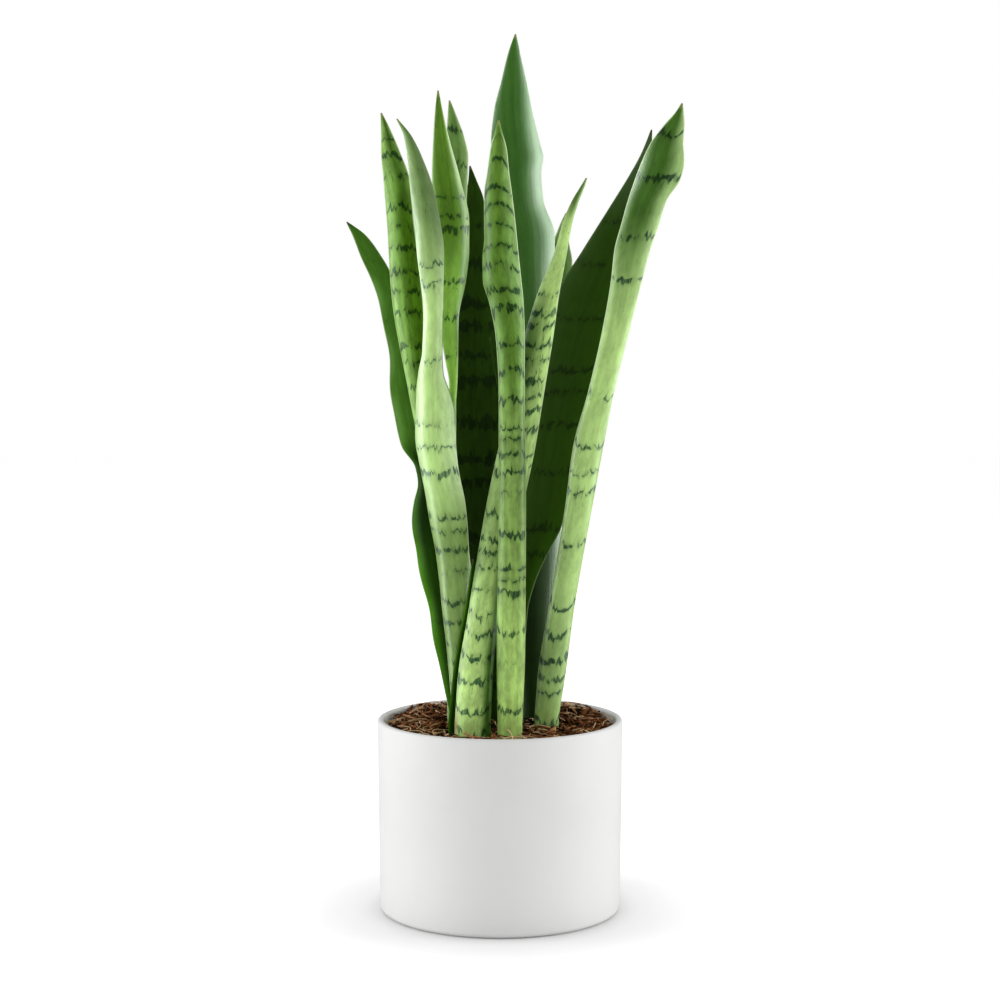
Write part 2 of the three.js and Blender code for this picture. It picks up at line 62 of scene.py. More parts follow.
# Soil and mulch
FIT_GAP = 0.3
SOIL_TOP = 125
MULCH_WALL_TOP = 134.5
MULCH_MIDDLE_TOP = 133
MULCH_RISE_TO_BACK = 0.035
MULCH_HEAPS = [(-57, 53, 6, 19), (55, 54, 6, 21)]  # x, y, height, radius
MULCH_TO_WALL = 0.6
BED_RINGS = 44
BED_SPOKES = 150
BED_DEPTH = 4.5
BED_ROUGHNESS = 1.1
# The bed takes the darkest bark tones, painted shade in the gaps between the shreds.
BED_MOST_TONE = 0.12
BED_SIDE_TONE = 0.1

# Shreds of bark and fibres of coir on the bed. Each range is (least, most).
MULCH_SEED = 11
BARK, COIR = 0, 1
CLEAR_OF_LEAF = 1.2
CLEAR_OF_CEILING = 0.8
STRAND_TO_WALL = 1.5
STRAND_MIDDLE_TO_WALL = 2
STRAND_SIDES = 4
SHRED_COUNT = 680
SHRED_POINTS = 5
SHRED_LENGTHS = (8, 30)
SHRED_SHORTENINGS = (0.6, 1)
SHRED_BOWS = (-3, 3)
SHRED_LIFTS = (-3.2, 2.4)
SHRED_SLANTS = (-8, 8)
SHRED_WIDTHS = (0.5, 2.0)
SHRED_THICKNESSES = (0.3, 0.8)
SHRED_TWISTS = (-1.6, 1.6)
CHIP_SHARE = 0.26
CHIP_WIDTHS = (2.2, 4.2)
FIBRE_COUNT = 640
FIBRE_POINTS = 9
FIBRE_LENGTHS = (7, 28)
FIBRE_BOWS = (-9, 9)
FIBRE_LIFTS = (-1.5, 3.5)
FIBRE_SLANTS = (-5, 5)
FIBRE_RADII = (0.26, 0.5)
STRAY_SHARE = 0.08
STRAY_SLANTS = (-16, 16)
STRAY_TONE = 0.9

# Leaves
LEAF_FOOT = 100
STRAIGHT_FOOT_TOP = 140
MARGIN_THICKNESS = 0.9
FOOT_THICKNESS = 3.2
TIP_THICKNESS = 1
LEAST_ROLL = 1
WAVE_FADE = 60
RIGHT_MARGIN_LAG = 130
RING_STEP = 2.2
STRIPS = 28
MARGIN_PIECES = 3
RING_POINTS = 2 * (STRIPS + MARGIN_PIECES)
END_SPACING = 40

# Studio, in metres, but the floor's radii in millimetres
WORLD_LIGHT = 0.5
FLOOR_HALF = 6.0
FLOOR_PAINTED_SHADOW_COLOUR = (0.78, 0.78, 0.78)
FLOOR_COLOUR = (0.9, 0.9, 0.9)
FLOOR_SHADE_RADII = (FOOT_RADIUS - 4, FOOT_RADIUS + 16)
NEAR_RADIUS, MIDDLE_RADIUS, FAR_RADIUS = 80, 200, 900
NEAR_GLOW, MIDDLE_GLOW, FAR_GLOW = 0.06, 0.35, 0.56
# Name, azimuth from the front in degrees, distance, height, (width, height), watts
SOFT_LIGHTS = [
    ("left_box", -90, 1.5, 0.4, (0.8, 0.8), 9.5),
    ("right_box", 90, 1.5, 0.4, (0.8, 0.8), 9.0),
    ("front_box", 0, 1.2, 2.0, (1.6, 0.8), 1),
    ("top_box", 180, 0.1, 2.2, (1.6, 1.6), 14),
]
# These only make the shine on the leaves.
SHINE_LIGHTS = [
    ("left_shine", -94, 1.5, 0.65, (0.7, 1.7), 56),
    ("right_shine", 94, 1.5, 0.65, (0.7, 1.7), 52),
]
LIGHT_AIM = (0, 0, 0.35)
CAMERA_PLACE = (0, -1.560, 0.4157)
CAMERA_DIP = 4.29
CAMERA_LENS = 78
CAMERA_SENSOR = 36

# Colours are linear.
CERAMIC_COLOURS = [(0.718, 0.718, 0.713), (0.738, 0.738, 0.733)]
LOWER_WALL_PAINTED_LIGHT = (0.84, 0.84, 0.835)
POT_FOOT_PAINTED_SHADE = (0.55, 0.54, 0.52)
BARK_COLOURS = [(0.006, 0.0020, 0.0005), (0.29, 0.105, 0.030)]
PALE_BARK_COLOUR = (0.60, 0.31, 0.13)
COIR_COLOURS = [(0.15, 0.048, 0.011), (1.0, 0.68, 0.38)]
MULCH_CRACK_COLOUR = (0.02, 0.008, 0.004)
SOIL_COLOURS = [(0.010, 0.006, 0.004), (0.055, 0.032, 0.018)]
BAND_TINT = (0.08, 0.165, 0.20)
DARK_BAND_TINT = (0.40, 0.36, 1.2)
# SHADE_TINT is what the painted shade on the leaves turns their colour into.
SHADE_TINT = (0.10, 0.18, 0.05)
SHINE_TINT = (0.88, 1.0, 0.90, 1)
PALE_MARGIN = (0.60, 0.74, 0.42)
FOOT_STRAW = (0.55, 0.42, 0.16)
AWN_COLOUR = (0.34, 0.36, 0.13)
DARK_AWN_COLOUR = (0.06, 0.07, 0.03)

# Noises of the leaf skins: (cells per millimetre across, along, offset, detail, roughness).
# The offset keeps them apart.
NOISES = {
    "fibres": (2.4, 0.035, 0, 3, 0.5),
    "streaks": (0.30, 0.007, 1, 2, 0.5),
    "mottling": (0.20, 0.075, 2, 4, 0.6),
    "drift": (0.10, 0.03, 3, 1, 0.5),
    "jitter": (0.30, 0.045, 7, 3, 0.6),
    "thread": (1.5, 0.10, 11, 2, 0.5),
    "band_width": (0.20, 0.05, 17, 2, 0.6),
    "strokes": (1.3, 0.13, 37, 2, 0.5),
    "flecks": (1.0, 0.17, 23, 2, 0.5),
    "fleck_patches": (0.1, 0.05, 29, 1, 0.5),
}

# Smooth steps of the materials: (from, to, value before, value after), the last two 0 and 1 if not
# given. Heights and lengths are in millimetres.
STEPS = {
    "ceramic_cloud": (0.3, 0.7),
    "lower_wall_painted_light": (0, 90, 0.6, 0),
    "pot_foot_painted_shade": (0, 3, 0.4, 0),
    "ceramic_roughness": (0.3, 0.7, 0.48, 0.58),
    "bark": (0, 0.9),
    "pale_bark": (0.85, 1),
    "coir": (0.3, 1),
    "mulch_crack": (0.3, 0.6, 0.35, 0),
    "mulch_roughness": (0.2, 0.8, 0.6, 0.85),
    "mulch_relief": (0, 1, 0.9, 1),
    "soil": (0.35, 0.65),
    "soil_roughness": (0.2, 0.8, 0.85, 1),
    "fibre_tone": (0.3, 0.7, 0.97, 1.03),
    "pale_foot_painted_light": (135, 200, 1.5, 1),
    "band_width": (0.34, 0.6, 0.12, 1.6),
    "band_edge": (-0.8, 0.5),
    "band_start": (0, 0.8),
    "stroke": (0.36, 0.56, 0.68, 1),
    "drip_end": (-4.5, -0.3),
    "drip_top": (0, 0.6, 1, 0),
    "drip_thread": (0.52, 0.66),
    "drip_start": (0.1, 0.8, 0, 0.7),
    "haze": (0, 5, 0.28, 0),
    "haze_start": (0, 0.7),
    "fleck": (0.6, 0.7),
    "fleck_patch": (0.42, 0.6),
    "fleck_by_band": (1, 9, 1, 0.35),
    "sheath_side": (-0.9, -0.6, 1, 0),
    "margin_start": (2, 5),
    "dry_tip": (0.5, 5, 0.7, 0),
}
MOTTLING_LIMITS = (0.34, 0.66)
STREAK_LIMITS = (0.32, 0.68)
GLOSS_LIMITS = (0.2, 0.8)
ROUGHNESS_RISE = 0.08
MARGIN_LINE = (0.3, 1.0)
SHEATH_HEIGHTS = (138, 158)
SKIN_SEED_STEP = 31.7
SKIN_RELIEF = (0.25, 0.25)
STREAK_RELIEF_SHARE = 1.5
LEAST_ACROSS = 0.02

# The middle line of a band swings by these lengths. A swag is half a sine wave.
SWAG_SWING = 3.0
SWAG_RADIANS_PER_MM = 0.5
SWAG_RADIANS_BY_DRIFT = 14
DRIFT_SWING = 8.0
JITTER_SWING = 6.0
THREAD_SWING = 2.6
CALM_SHARE = 0.35
BAND_SPREAD = 2.2

# A look holds what the leaves of one kind share:
# low, high: the colour of the middle low down and high up
# change: the heights between which the colours change from low to high
# side, side_high: the colour of the sides low down and high up, which is one colour if not given.
#     It is partly the leaf's own paler edge and partly painted light where the margins face the lamps.
# sides: the left and then the right side, as (how far its colour shows low down, how far high up,
#     where it starts, where it is full), the last two as shares of the half width
# shades: painted shade, darker stretches where the blade lies in shade, most of them under a
#     neighbour, as (where it starts across the leaf, where it is full, the heights at which it
#     starts, is full, begins to fade and ends, its strength)
# mottle, streaks: the contrast of the mottling and of the streaks
# calm: the heights between which the bands turn into even arcs
# straw: the strength of the dry sheath at the foot
# bands, flecks: the strength of all dark marks, and of the flecks among them
# band_tint: what the dark marks turn the leaf's colour into, if it isn't BAND_TINT
# shine, roughness: the strength of the shine and the least roughness
# margin: the strength of the pale line along the edges
DARK_LOOKS = ("dark", "broad", "deep")
LOOKS = {}
LOOKS["front"] = dict(
    low=(0.32, 0.50, 0.125), high=(0.078, 0.175, 0.014), change=(310, 400),
    side=(0.34, 0.55, 0.15), side_high=(0.24, 0.42, 0.12),
    sides=[(0.6, 0.4, -0.2, 1), (0, 0.75, 0, 0.9)],
    shades=[(-3, -2, 210, 245, 330, 380, 0.47), (0, 0.8, 275, 310, 345, 380, 0.4)],
    mottle=0.2, streaks=0.12, calm=(470, 500),
    bands=1, flecks=0.85, shine=0.1, roughness=0.34, margin=0.8,
)
# The dark low colour of this look is painted shade on the lower blade, which lies behind a neighbour.
LOOKS["pale"] = dict(
    low=(0.19, 0.32, 0.075), high=(0.42, 0.65, 0.20), change=(265, 325),
    side=(0.22, 0.36, 0.10), side_high=(0.52, 0.72, 0.34),
    sides=[(0.4, 0.8, 0, 0.8), (0.2, 0.85, 0.1, 0.9)],
    shades=[
        (-1.6, 0.6, 425, 515, 700, 800, 0.6),
        (-3, -2, 440, 515, 700, 800, 0.45),
        (0.9, 0.98, 340, 365, 425, 440, 0.95),
    ],
    mottle=0.1, streaks=0.06,
    bands=0.95, flecks=0.7, shine=0.38, roughness=0.33, margin=0.8,
)
LOOKS["leaning"] = dict(
    low=(0.38, 0.57, 0.17), high=(0.085, 0.165, 0.035), change=(485, 515),
    side=(0.45, 0.66, 0.25), side_high=(0.40, 0.56, 0.24),
    sides=[(0.6, 0, 0.1, 0.9), (0, 0.9, 0, 0.9)],
    shades=[
        (0.1, 0.65, 60, 80, 225, 330, 0.98), (-3, -2, 215, 265, 300, 350, 0.4),
        (0.75, -0.7, 330, 360, 415, 465, 0.95),
    ],
    mottle=0.18, streaks=0.08, straw=0.8,
    bands=1, flecks=1, shine=0.1, roughness=0.34, margin=0.5,
)
LOOKS["tall"] = dict(
    low=(0.39, 0.60, 0.18), high=(0.045, 0.135, 0.006), change=(410, 512),
    side=(0.38, 0.57, 0.19), side_high=(0.34, 0.52, 0.18),
    sides=[(0.6, 0.2, 0.55, 1), (0.8, 0.95, 0.1, 1)],
    shades=[(0.9, 0.3, 60, 80, 190, 225, 0.32)],
    mottle=0.12, streaks=0.07,
    bands=1, flecks=0.7, shine=0.45, roughness=0.32, margin=0.8,
)
LOOKS["upright"] = dict(
    low=(0.060, 0.155, 0.004), high=(0.046, 0.135, 0.003), change=(490, 550),
    side=(0.25, 0.45, 0.10), side_high=(0.26, 0.45, 0.11),
    sides=[(0.9, 0.9, -0.35, 0.65), (0, 0.6, 0, 1)],
    mottle=0.2, streaks=0.15,
    bands=0.95, flecks=0.85, shine=0.08, roughness=0.34, margin=0.5,
)
LOOKS["fresh"] = dict(
    low=(0.27, 0.53, 0.065), high=(0.098, 0.225, 0.014), change=(445, 500),
    side=(0.34, 0.58, 0.14), side_high=(0.36, 0.56, 0.17),
    sides=[(0.3, 0.2, 0.6, 1), (0.2, 0.95, 0.55, 1)],
    shades=[(0.1, 0.9, 390, 410, 465, 500, 0.5)],
    mottle=0.12, streaks=0.10,
    bands=0.95, flecks=0.7, shine=0.25, roughness=0.32, margin=0.7,
)
LOOKS["rear"] = dict(
    low=(0.16, 0.32, 0.045), high=(0.14, 0.27, 0.060), change=(430, 520),
    side=(0.27, 0.44, 0.16), side_high=(0.31, 0.48, 0.19),
    sides=[(0.5, 0.6, 0.4, 1), (0.7, 0.8, 0.4, 1)],
    mottle=0.12, streaks=0.10,
    bands=0.9, flecks=0.6, shine=0.2, roughness=0.34, margin=0.6,
)
# The dark low colour is painted shade on the lower blade; the pale greyish side_high on the right is a
# painted sheen.
LOOKS["plain"] = dict(
    low=(0.014, 0.045, 0.002), high=(0.040, 0.150, 0.006), change=(300, 430),
    side=(0.06, 0.17, 0.02), side_high=(0.22, 0.37, 0.19),
    sides=[(0.5, 0.4, 0.7, 1), (0.4, 0.6, 0.1, 1)],
    mottle=0.06, streaks=0.12,
    bands=0.2, flecks=0.1, shine=0.62, roughness=0.37, margin=0.3,
)
LOOKS["dark"] = dict(
    low=(0.018, 0.046, 0.003), high=(0.018, 0.048, 0.003), change=(300, 500),
    side=(0.022, 0.056, 0.004), sides=[(0.8, 0.8, 0.3, 1), (0.8, 0.8, 0.3, 1)],
    mottle=0.12, streaks=0.08,
    band_tint=DARK_BAND_TINT,
    bands=0.85, flecks=0.5, shine=0.05, roughness=0.4, margin=0,
)
# The greyish high colour is a painted sheen at the top of the blade.
LOOKS["broad"] = dict(
    low=(0.024, 0.066, 0.003), high=(0.070, 0.125, 0.045), change=(490, 550),
    side=(0.036, 0.105, 0.003), sides=[(0.1, 0.1, 0.3, 1), (0.8, 0.8, 0, 1)],
    shades=[(-3, -2, 340, 380, 700, 800, 0.22)],
    mottle=0.05, streaks=0.04,
    band_tint=DARK_BAND_TINT,
    bands=0.8, flecks=0.25, shine=0.08, roughness=0.4, margin=0.1,
)
LOOKS["deep"] = dict(
    low=(0.010, 0.038, 0.001), high=(0.050, 0.142, 0.013), change=(320, 350),
    side=(0.055, 0.20, 0.003), side_high=(0.065, 0.165, 0.015),
    sides=[(0.9, 0.5, 0.1, 1), (0.3, 0.2, 0.7, 1)],
    shades=[(-3, -2, 255, 285, 325, 345, 0.5), (-3, -2, 60, 80, 160, 200, 0.4)],
    mottle=0.10, streaks=0.08,
    bands=0.3, flecks=0.2, shine=0.02, roughness=0.38, margin=0.4,
)

# Every leaf is a list of level cuts through the blade, from the soil to the tip.
# A cut is (height, left edge x, right edge x, chord y, roll, turn) in millimetres and degrees.
# A positive roll brings the midrib to the front. The turn takes the right edge back.
# The wave is (swing of the margins, wavelength, start angle in degrees).
# Bands are {height: thickness}, and the arch lifts their middle at the foot and at the tip.
# A blade that isn't as thick as the others has thickness=(at the foot, at the tip).
LEAVES = {}
LEAVES["leaf_front_centre"] = dict(
    look="front", wave=(0.5, 70, 20),
    cuts=[
        (140, -1.5, 15.5, -30, 78, 0), (196, -2, 17.5, -30, 76, 0), (296, -0.5, 18, -33, 74, 0),
        (376, -0.5, 17, -38, 70, 0), (415, -2.5, 17, -42, 66, 0), (440, -7, 16, -45, 62, -8),
        (455, -11.5, 14.5, -47, 66, -15), (470, -12, 13, -49, 68, -18), (485, -10.5, 11.5, -51, 64, -16),
        (514, -10.5, 8, -56, 56, -10), (529, -8.5, 6, -59, 50, -6), (544, -6.5, 4.5, -62, 42, 0),
        (555, -3.5, 1.5, -64, 36, 0), (563.5, -1.4, -0.6, -66, 25, 0),
    ],
    arch=(-4, 8),
    bands={
        550: 0.4, 535: 0.9, 515: 1.3, 504: 1.1, 491: 0.5, 477: 0.8, 464: 0.8, 447: 1.0, 435: 2.2,
        410: 1.0, 391: 1.3, 372: 1.3, 351: 0.9, 345: 0.5, 334: 1.2, 321: 1.3, 308: 0.3, 277: 1.4,
        253: 1.2, 246: 0.4, 238: 1.3, 208: 1.1, 186: 0.2, 154: 1.2,
    },
)
LEAVES["leaf_front_leaning"] = dict(
    look="leaning", wave=(0.4, 80, 110),
    cuts=[
        (140, -32, -7, -28, 66, 0), (176, -29.5, -5.5, -27, 66, 0), (216, -23, -0.5, -23.5, 64, 0),
        (256, -16.5, 7, -19.5, 62, 0), (296, -9.5, 16, -17, 58, 0), (336, -1, 24.5, -16, 55, 0),
        (376, 8.5, 31, -16.5, 52, 0), (416, 17.5, 37.5, -19, 50, 2), (446, 26.5, 41.5, -22, 48, 6),
        (476, 38.5, 47, -26, 44, 12), (496, 44, 50.5, -30, 40, 14), (511, 50.5, 55, -33, 36, 12),
        (521, 56.5, 59, -36, 30, 8), (526.5, 59.8, 60.6, -38, 25, 0),
    ],
    arch=(-5, -2),
    bands={
        492: 0.5, 466: 0.4, 448: 0.5, 432: 1.5, 425: 1.0, 410: 1.2, 401: 0.7, 386: 1.3, 375: 1.0,
        365: 1.1, 352: 0.8, 333: 1.2, 322: 1.0, 291: 0.9, 273: 1.4, 265: 1.0, 253: 0.8, 237: 0.5,
        222: 0.6, 208: 1.0, 191: 1.2, 173: 1.3, 152: 1.4, 140: 1.0,
    },
)
LEAVES["leaf_front_slim"] = dict(
    look="deep", wave=(0.3, 60, 0), thickness=(1.5, 1.0),
    cuts=[
        (140, -37, -33, -22, 35, 30), (157, -35.5, -31, -22, 35, 30), (176, -33.5, -29.5, -22, 35, 30),
        (196, -30.5, -26.5, -21.5, 35, 25), (226, -24.5, -21, -20.5, 30, 20),
        (246, -21.5, -19, -20.5, 25, 10), (258, -19.7, -18.9, -20.5, 20, 0),
    ],
    bands={205: 0.4, 170: 0.4},
)
LEAVES["leaf_left_twisted"] = dict(
    look="pale", wave=(0.8, 60, 200),
    cuts=[
        (140, -33, -19, -14, 60, -6), (176, -36.5, -21, -14, 60, -8), (216, -40.5, -21.5, -14, 62, -10),
        (256, -45, -22, -14, 64, -14), (296, -52, -25, -14, 66, -18), (326, -57.5, -30, -15, 66, -21),
        (346, -60, -32, -16, 66, -22), (361, -60, -32, -18, 64, -22), (376, -59.5, -35, -20, 58, -20),
        (391, -57.5, -40, -22, 50, -18), (406, -54.5, -41, -24, 44, -15), (436, -54, -40, -29, 39, -12),
        (476, -58, -39.5, -36, 38, -12), (515, -61.5, -45.5, -44, 38, -12), (540, -64, -54, -49, 34, -8),
        (554, -66, -61, -53, 30, -4), (565.5, -71.2, -70.4, -56, 20, 0),
    ],
    arch=(-3, -2),
    bands={
        466: 0.8, 456: 0.5, 400: 0.4, 354: 0.4, 339: 0.5, 322: 1.3, 287: 1.1, 279: 0.5, 265: 1.5,
        250: 0.3, 228: 1.1, 213: 1.2, 196: 0.7, 185: 0.7, 166: 0.8,
    },
)
LEAVES["leaf_left_upright"] = dict(
    look="upright", wave=(0.6, 75, 60),
    cuts=[
        (140, -34, -18, -5, 42, -10), (217, -40.5, -27, -5, 45, -12), (297, -51.5, -36, -7, 48, -14),
        (377, -65, -48.5, -9, 50, -16), (437, -76, -54.5, -12, 48, -16), (497, -80, -61, -16, 44, -14),
        (527, -82, -64, -18, 38, -10), (547, -83.5, -71, -20, 32, -6), (562, -83.5, -77.5, -21, 26, 0),
        (573, -83.8, -83.0, -22, 20, 0),
    ],
    arch=(-2, 3),
    bands={
        554: 0.5, 544: 1.0, 529: 0.5, 505: 0.9, 492: 0.4, 479: 1.1, 461: 1.1, 448: 0.8, 434: 1.2,
        408: 1.1, 398: 0.8, 380: 1.0, 355: 0.9, 330: 1.0, 300: 0.8, 262: 0.9, 230: 0.8, 195: 0.8,
        165: 0.8,
    },
)
LEAVES["leaf_left_wavy"] = dict(
    look="deep", wave=(1.4, 46, 0),
    cuts=[
        (140, -36, -22, 2, 36, -12), (157, -39.5, -23, 2.5, 36, -14), (177, -44, -25, 3, 36, -16),
        (197, -48, -27, 3.5, 36, -18), (217, -51.5, -30, 4, 36, -20), (237, -56, -34, 5, 35, -22),
        (257, -60.5, -38, 6, 34, -24), (277, -63.5, -42, 7, 32, -26), (297, -62, -46.5, 9, 30, -26),
        (309, -60, -48, 9.5, 30, -26), (322, -61.5, -51, 11, 30, -25), (337, -71, -54.5, 13, 30, -22),
        (358, -77, -59, 16, 30, -20), (378, -79.5, -62.5, 19, 30, -18), (398, -80.5, -66, 22, 30, -18),
        (419, -83.5, -68.5, 26, 30, -16), (439, -88, -72, 30, 28, -14), (460, -95, -78.5, 34, 28, -12),
        (475, -102, -87, 38, 26, -8), (491, -108.5, -99, 42, 22, -4), (500.5, -113.0, -112.2, 44, 20, 0),
    ],
    arch=(-1, 1),
    bands={470: 0.5, 430: 0.5, 380: 0.5, 330: 0.6, 270: 0.6, 210: 0.6, 170: 0.6},
)
LEAVES["leaf_middle_left"] = dict(
    look="fresh", wave=(0.5, 90, 150),
    cuts=[
        (140, -29, -12, 9, 38, 0), (217, -34.5, -18, 7, 38, 0), (297, -39.5, -27, 5, 34, 4),
        (337, -38.5, -32, 4, 30, 8), (362, -36.5, -32, 3, 30, 10), (383, -36.5, -31, 2, 30, 10),
        (398, -39, -30.5, 1.5, 30, 8), (428, -44, -30, 1, 36, 6), (458, -47, -24.5, 1, 56, 7),
        (478, -48, -22.5, 1, 60, 7), (498, -48.5, -22.5, 1.5, 60, 7), (528, -48.5, -28.5, 2, 48, 6),
        (559, -47.5, -37, 3, 38, 4), (579, -46, -41.5, 4, 24, 0), (591.5, -44.6, -43.8, 4, 20, 0),
    ],
    arch=(-2, -1),
    bands={
        516: 1.1, 501: 0.9, 495: 1.5, 457: 1.6, 430: 0.6, 402: 1.1, 370: 1.0, 320: 1.0, 280: 1.0,
        240: 1.0, 200: 1.0, 165: 1.0,
    },
)
LEAVES["leaf_middle_left_rear"] = dict(
    look="rear", wave=(0.4, 80, 240),
    cuts=[
        (140, -38.5, -24, 18, 36, 0), (217, -38.5, -25.5, 16, 34, 0), (298, -38, -30, 13, 30, 12),
        (338, -37, -32.5, 12, 26, 30), (363, -36, -32, 11.5, 24, 42), (398, -37.5, -32, 11, 24, 34),
        (438, -38.5, -30, 11, 26, 18), (479, -38.5, -26.5, 12, 28, 6), (519, -39, -24, 14, 28, 0),
        (545, -39, -23, 15.5, 28, 0), (560, -38.5, -26, 16.5, 26, 0), (575, -37.5, -31.5, 17.5, 24, 0),
        (586, -36.8, -36.0, 18, 20, 0),
    ],
    arch=(-2, 2),
    bands={
        564: 1.4, 540: 0.8, 505: 0.5, 470: 0.8, 430: 1.0, 380: 1.0, 330: 1.0, 270: 1.0, 220: 1.0,
        170: 1.0,
    },
)
LEAVES["leaf_centre_dark"] = dict(
    look="dark", wave=(0.8, 85, 30),
    cuts=[
        (140, -19, 0.5, 16, -40, 0), (218, -23, 0.5, 17, -38, 0), (298, -28.5, 3.5, 19, -34, 0),
        (358, -33, 4, 22, -32, 0), (399, -33.5, 2, 25, -30, 0), (439, -31, -3, 28, -28, 0),
        (480, -27.5, -8.5, 32, -28, 0), (500, -26.5, -10.5, 34.5, -26, 0), (516, -25.5, -12, 36.5, -24, 0),
        (531, -23, -17.5, 39, -22, 0), (541, -22.4, -21.6, 40, -20, 0),
    ],
    arch=(0, 1),
    bands={
        500: 1.2, 470: 2.2, 438: 3.0, 424: 2.4, 402: 1.6, 384: 2.8, 354: 3.2, 325: 2.6, 311: 2.2,
        270: 2.4, 230: 2.4, 190: 2.4, 160: 2.4,
    },
)
LEAVES["leaf_centre_young"] = dict(
    look="dark", wave=(0.2, 80, 0), thickness=(2.0, 1.0),
    cuts=[
        (140, 0, 9, -14, 40, 0), (237, 0, 8.5, -12, 38, 0), (317, 0.5, 7, -10.5, 34, 0),
        (367, -0.5, 3, -10.5, 30, 0), (397, -4.5, -2.5, -10.5, 26, 0), (416, -7.8, -7.0, -10.5, 20, 0),
    ],
    bands={340: 0.8, 290: 0.8, 240: 0.8, 180: 0.8},
)
LEAVES["leaf_right_broad"] = dict(
    look="broad", wave=(0.9, 95, 80),
    cuts=[
        (140, 3, 17, 3, -34, 0), (177, 4, 17.5, 4, -34, 0), (217, 6.5, 20, 5, -34, 0),
        (237, 8, 25, 6, -33, 0), (257, 9.5, 33.5, 7, -32, 0), (277, 11, 44, 8, -30, 0),
        (297, 13, 50, 9, -30, 2), (338, 17.5, 61.5, 11, -28, 4), (378, 23, 71, 13, -28, 6),
        (418, 32.5, 80.5, 15, -28, 8), (449, 42, 88.5, 16.5, -26, 8), (479, 60, 95.5, 18, -24, 6),
        (509, 79, 102, 19.5, -22, 4), (535, 95, 107, 20.5, -20, 0), (550, 103, 109.5, 21, -20, 0),
        (565.5, 109.2, 110.0, 22, -20, 0),
    ],
    arch=(-2, -2),
    bands={
        500: 0.6, 470: 0.5, 430: 0.5, 392: 1.3, 378: 0.7, 353: 1.3, 320: 0.5, 276: 1.3, 261: 1.1,
        220: 1.0, 180: 1.0,
    },
)
LEAVES["leaf_right_tall"] = dict(
    look="tall", wave=(0.5, 90, 310),
    cuts=[
        (140, 25.5, 42.5, 4, 72, 0), (177, 28.5, 48, 2.5, 70, 0), (217, 35, 53, 0, 68, 0),
        (257, 41.5, 59.5, -3, 66, 0), (297, 47.5, 66.5, -7, 64, 0), (337, 52.5, 73.5, -11, 60, -2),
        (377, 63, 81, -16, 56, -4), (417, 72, 90.5, -21, 52, -4), (456, 78.5, 100, -27, 48, -4),
        (476, 80.5, 105, -30, 46, -4), (496, 85.5, 111.5, -34, 44, -4), (511, 89.5, 116, -37, 42, -6),
        (525, 94, 125, -41, 38, -10), (537, 98.5, 127.5, -44, 34, -12), (550, 104.5, 126.5, -48, 30, -8),
        (562, 113.5, 127, -52, 26, -4), (571, 121.5, 126, -55, 22, 0), (576, 124.5, 125.3, -57, 20, 0),
    ],
    arch=(-6, -2),
    bands={
        557: 1.4, 527: 1.6, 486: 1.2, 457: 1.3, 373: 0.5, 339: 1.0, 320: 0.4, 307: 1.2, 269: 0.8,
        222: 1.2, 204: 1.4, 184: 1.7, 170: 1.5, 160: 0.8, 140: 1.4,
    },
)
LEAVES["leaf_rear_tallest"] = dict(
    look="plain", wave=(0.9, 110, 170),
    cuts=[
        (140, 16.5, 39, 25, 40, 6), (218, 11, 42, 26, 40, 8), (298, 5, 45, 30, 40, 10),
        (379, 0.5, 43, 36, 40, 12), (440, -2, 40.5, 42, 38, 12), (470, -3.5, 40, 45.5, 37, 12),
        (491, -4.5, 40, 48.5, 36, 12), (517, -5.5, 32, 53, 36, 12), (537, -6, 30.5, 56, 36, 12),
        (549, -6, 32, 58.5, 36, 12), (558, -6.5, 30, 60, 36, 12), (584, -4, 23.5, 65, 36, 10),
        (605, 1, 19.5, 69, 34, 8), (626, 6, 15, 72.5, 30, 4), (641, 11.1, 11.9, 75, 20, 0),
    ],
    bands={330: 0.5, 280: 0.6, 230: 0.8, 180: 0.8},
)
LEAVES["leaf_rear_short"] = dict(
    look="rear", wave=(0.6, 90, 0),
    cuts=[
        (140, 22, 37.5, 38, -34, 0), (219, 23.5, 39, 41, -32, 0), (299, 27, 42.5, 47, -30, 0),
        (380, 30, 48.5, 55, -28, 0), (441, 33, 53, 63, -26, 0), (472, 36.5, 54, 68, -24, 0),
        (487, 40, 51.5, 70, -22, 0), (500, 45, 50.5, 72, -20, 0), (508.5, 49.0, 49.8, 73, -20, 0),
    ],
    bands={485: 0.5, 450: 0.6, 400: 0.8, 350: 0.8, 300: 0.8, 250: 0.8, 190: 0.8},
)


def smooth(value, low, high):
    share = min(max((value - low) / (high - low), 0), 1)
    return share * share * (3 - 2 * share)


def lerp(a, b, share):
    return a + (b - a) * share


def around(count):
    """Whole turn in even steps, as (cosine, sine)."""
    angles = [2 * math.pi * k / count for k in range(count)]
    return [(math.cos(angle), math.sin(angle)) for angle in angles]


def tube_faces(rings, size, first=0):
    """Faces between closed rings of points that follow each other."""
    faces = []
    for ring in range(rings - 1):
        for k in range(size):
            a, b = first + ring * size + k, first + ring * size + (k + 1) % size
            faces.append((a, b, b + size, a + size))
    return faces


def end_faces(rings, size, first=0):
    """The two faces that close such a tube."""
    last = first + (rings - 1) * size
    return [tuple(first + k for k in reversed(range(size))), tuple(last + k for k in range(size))]


def closed_mesh(name, positions, faces, attributes):
    mesh = bpy.data.meshes.new(name)
    mesh.from_pydata([(x * MM, y * MM, z * MM) for x, y, z in positions], [], faces)
    mesh.validate()
    for attribute, values in attributes.items():
        layer = mesh.attributes.new(attribute, "FLOAT_VECTOR", "POINT")
        layer.data.foreach_set("vector", np.array(values, dtype=np.float32).ravel())
    mesh.shade_smooth()
    piece = bpy.data.objects.new(name, mesh)
    bpy.context.scene.collection.objects.link(piece)
    return piece


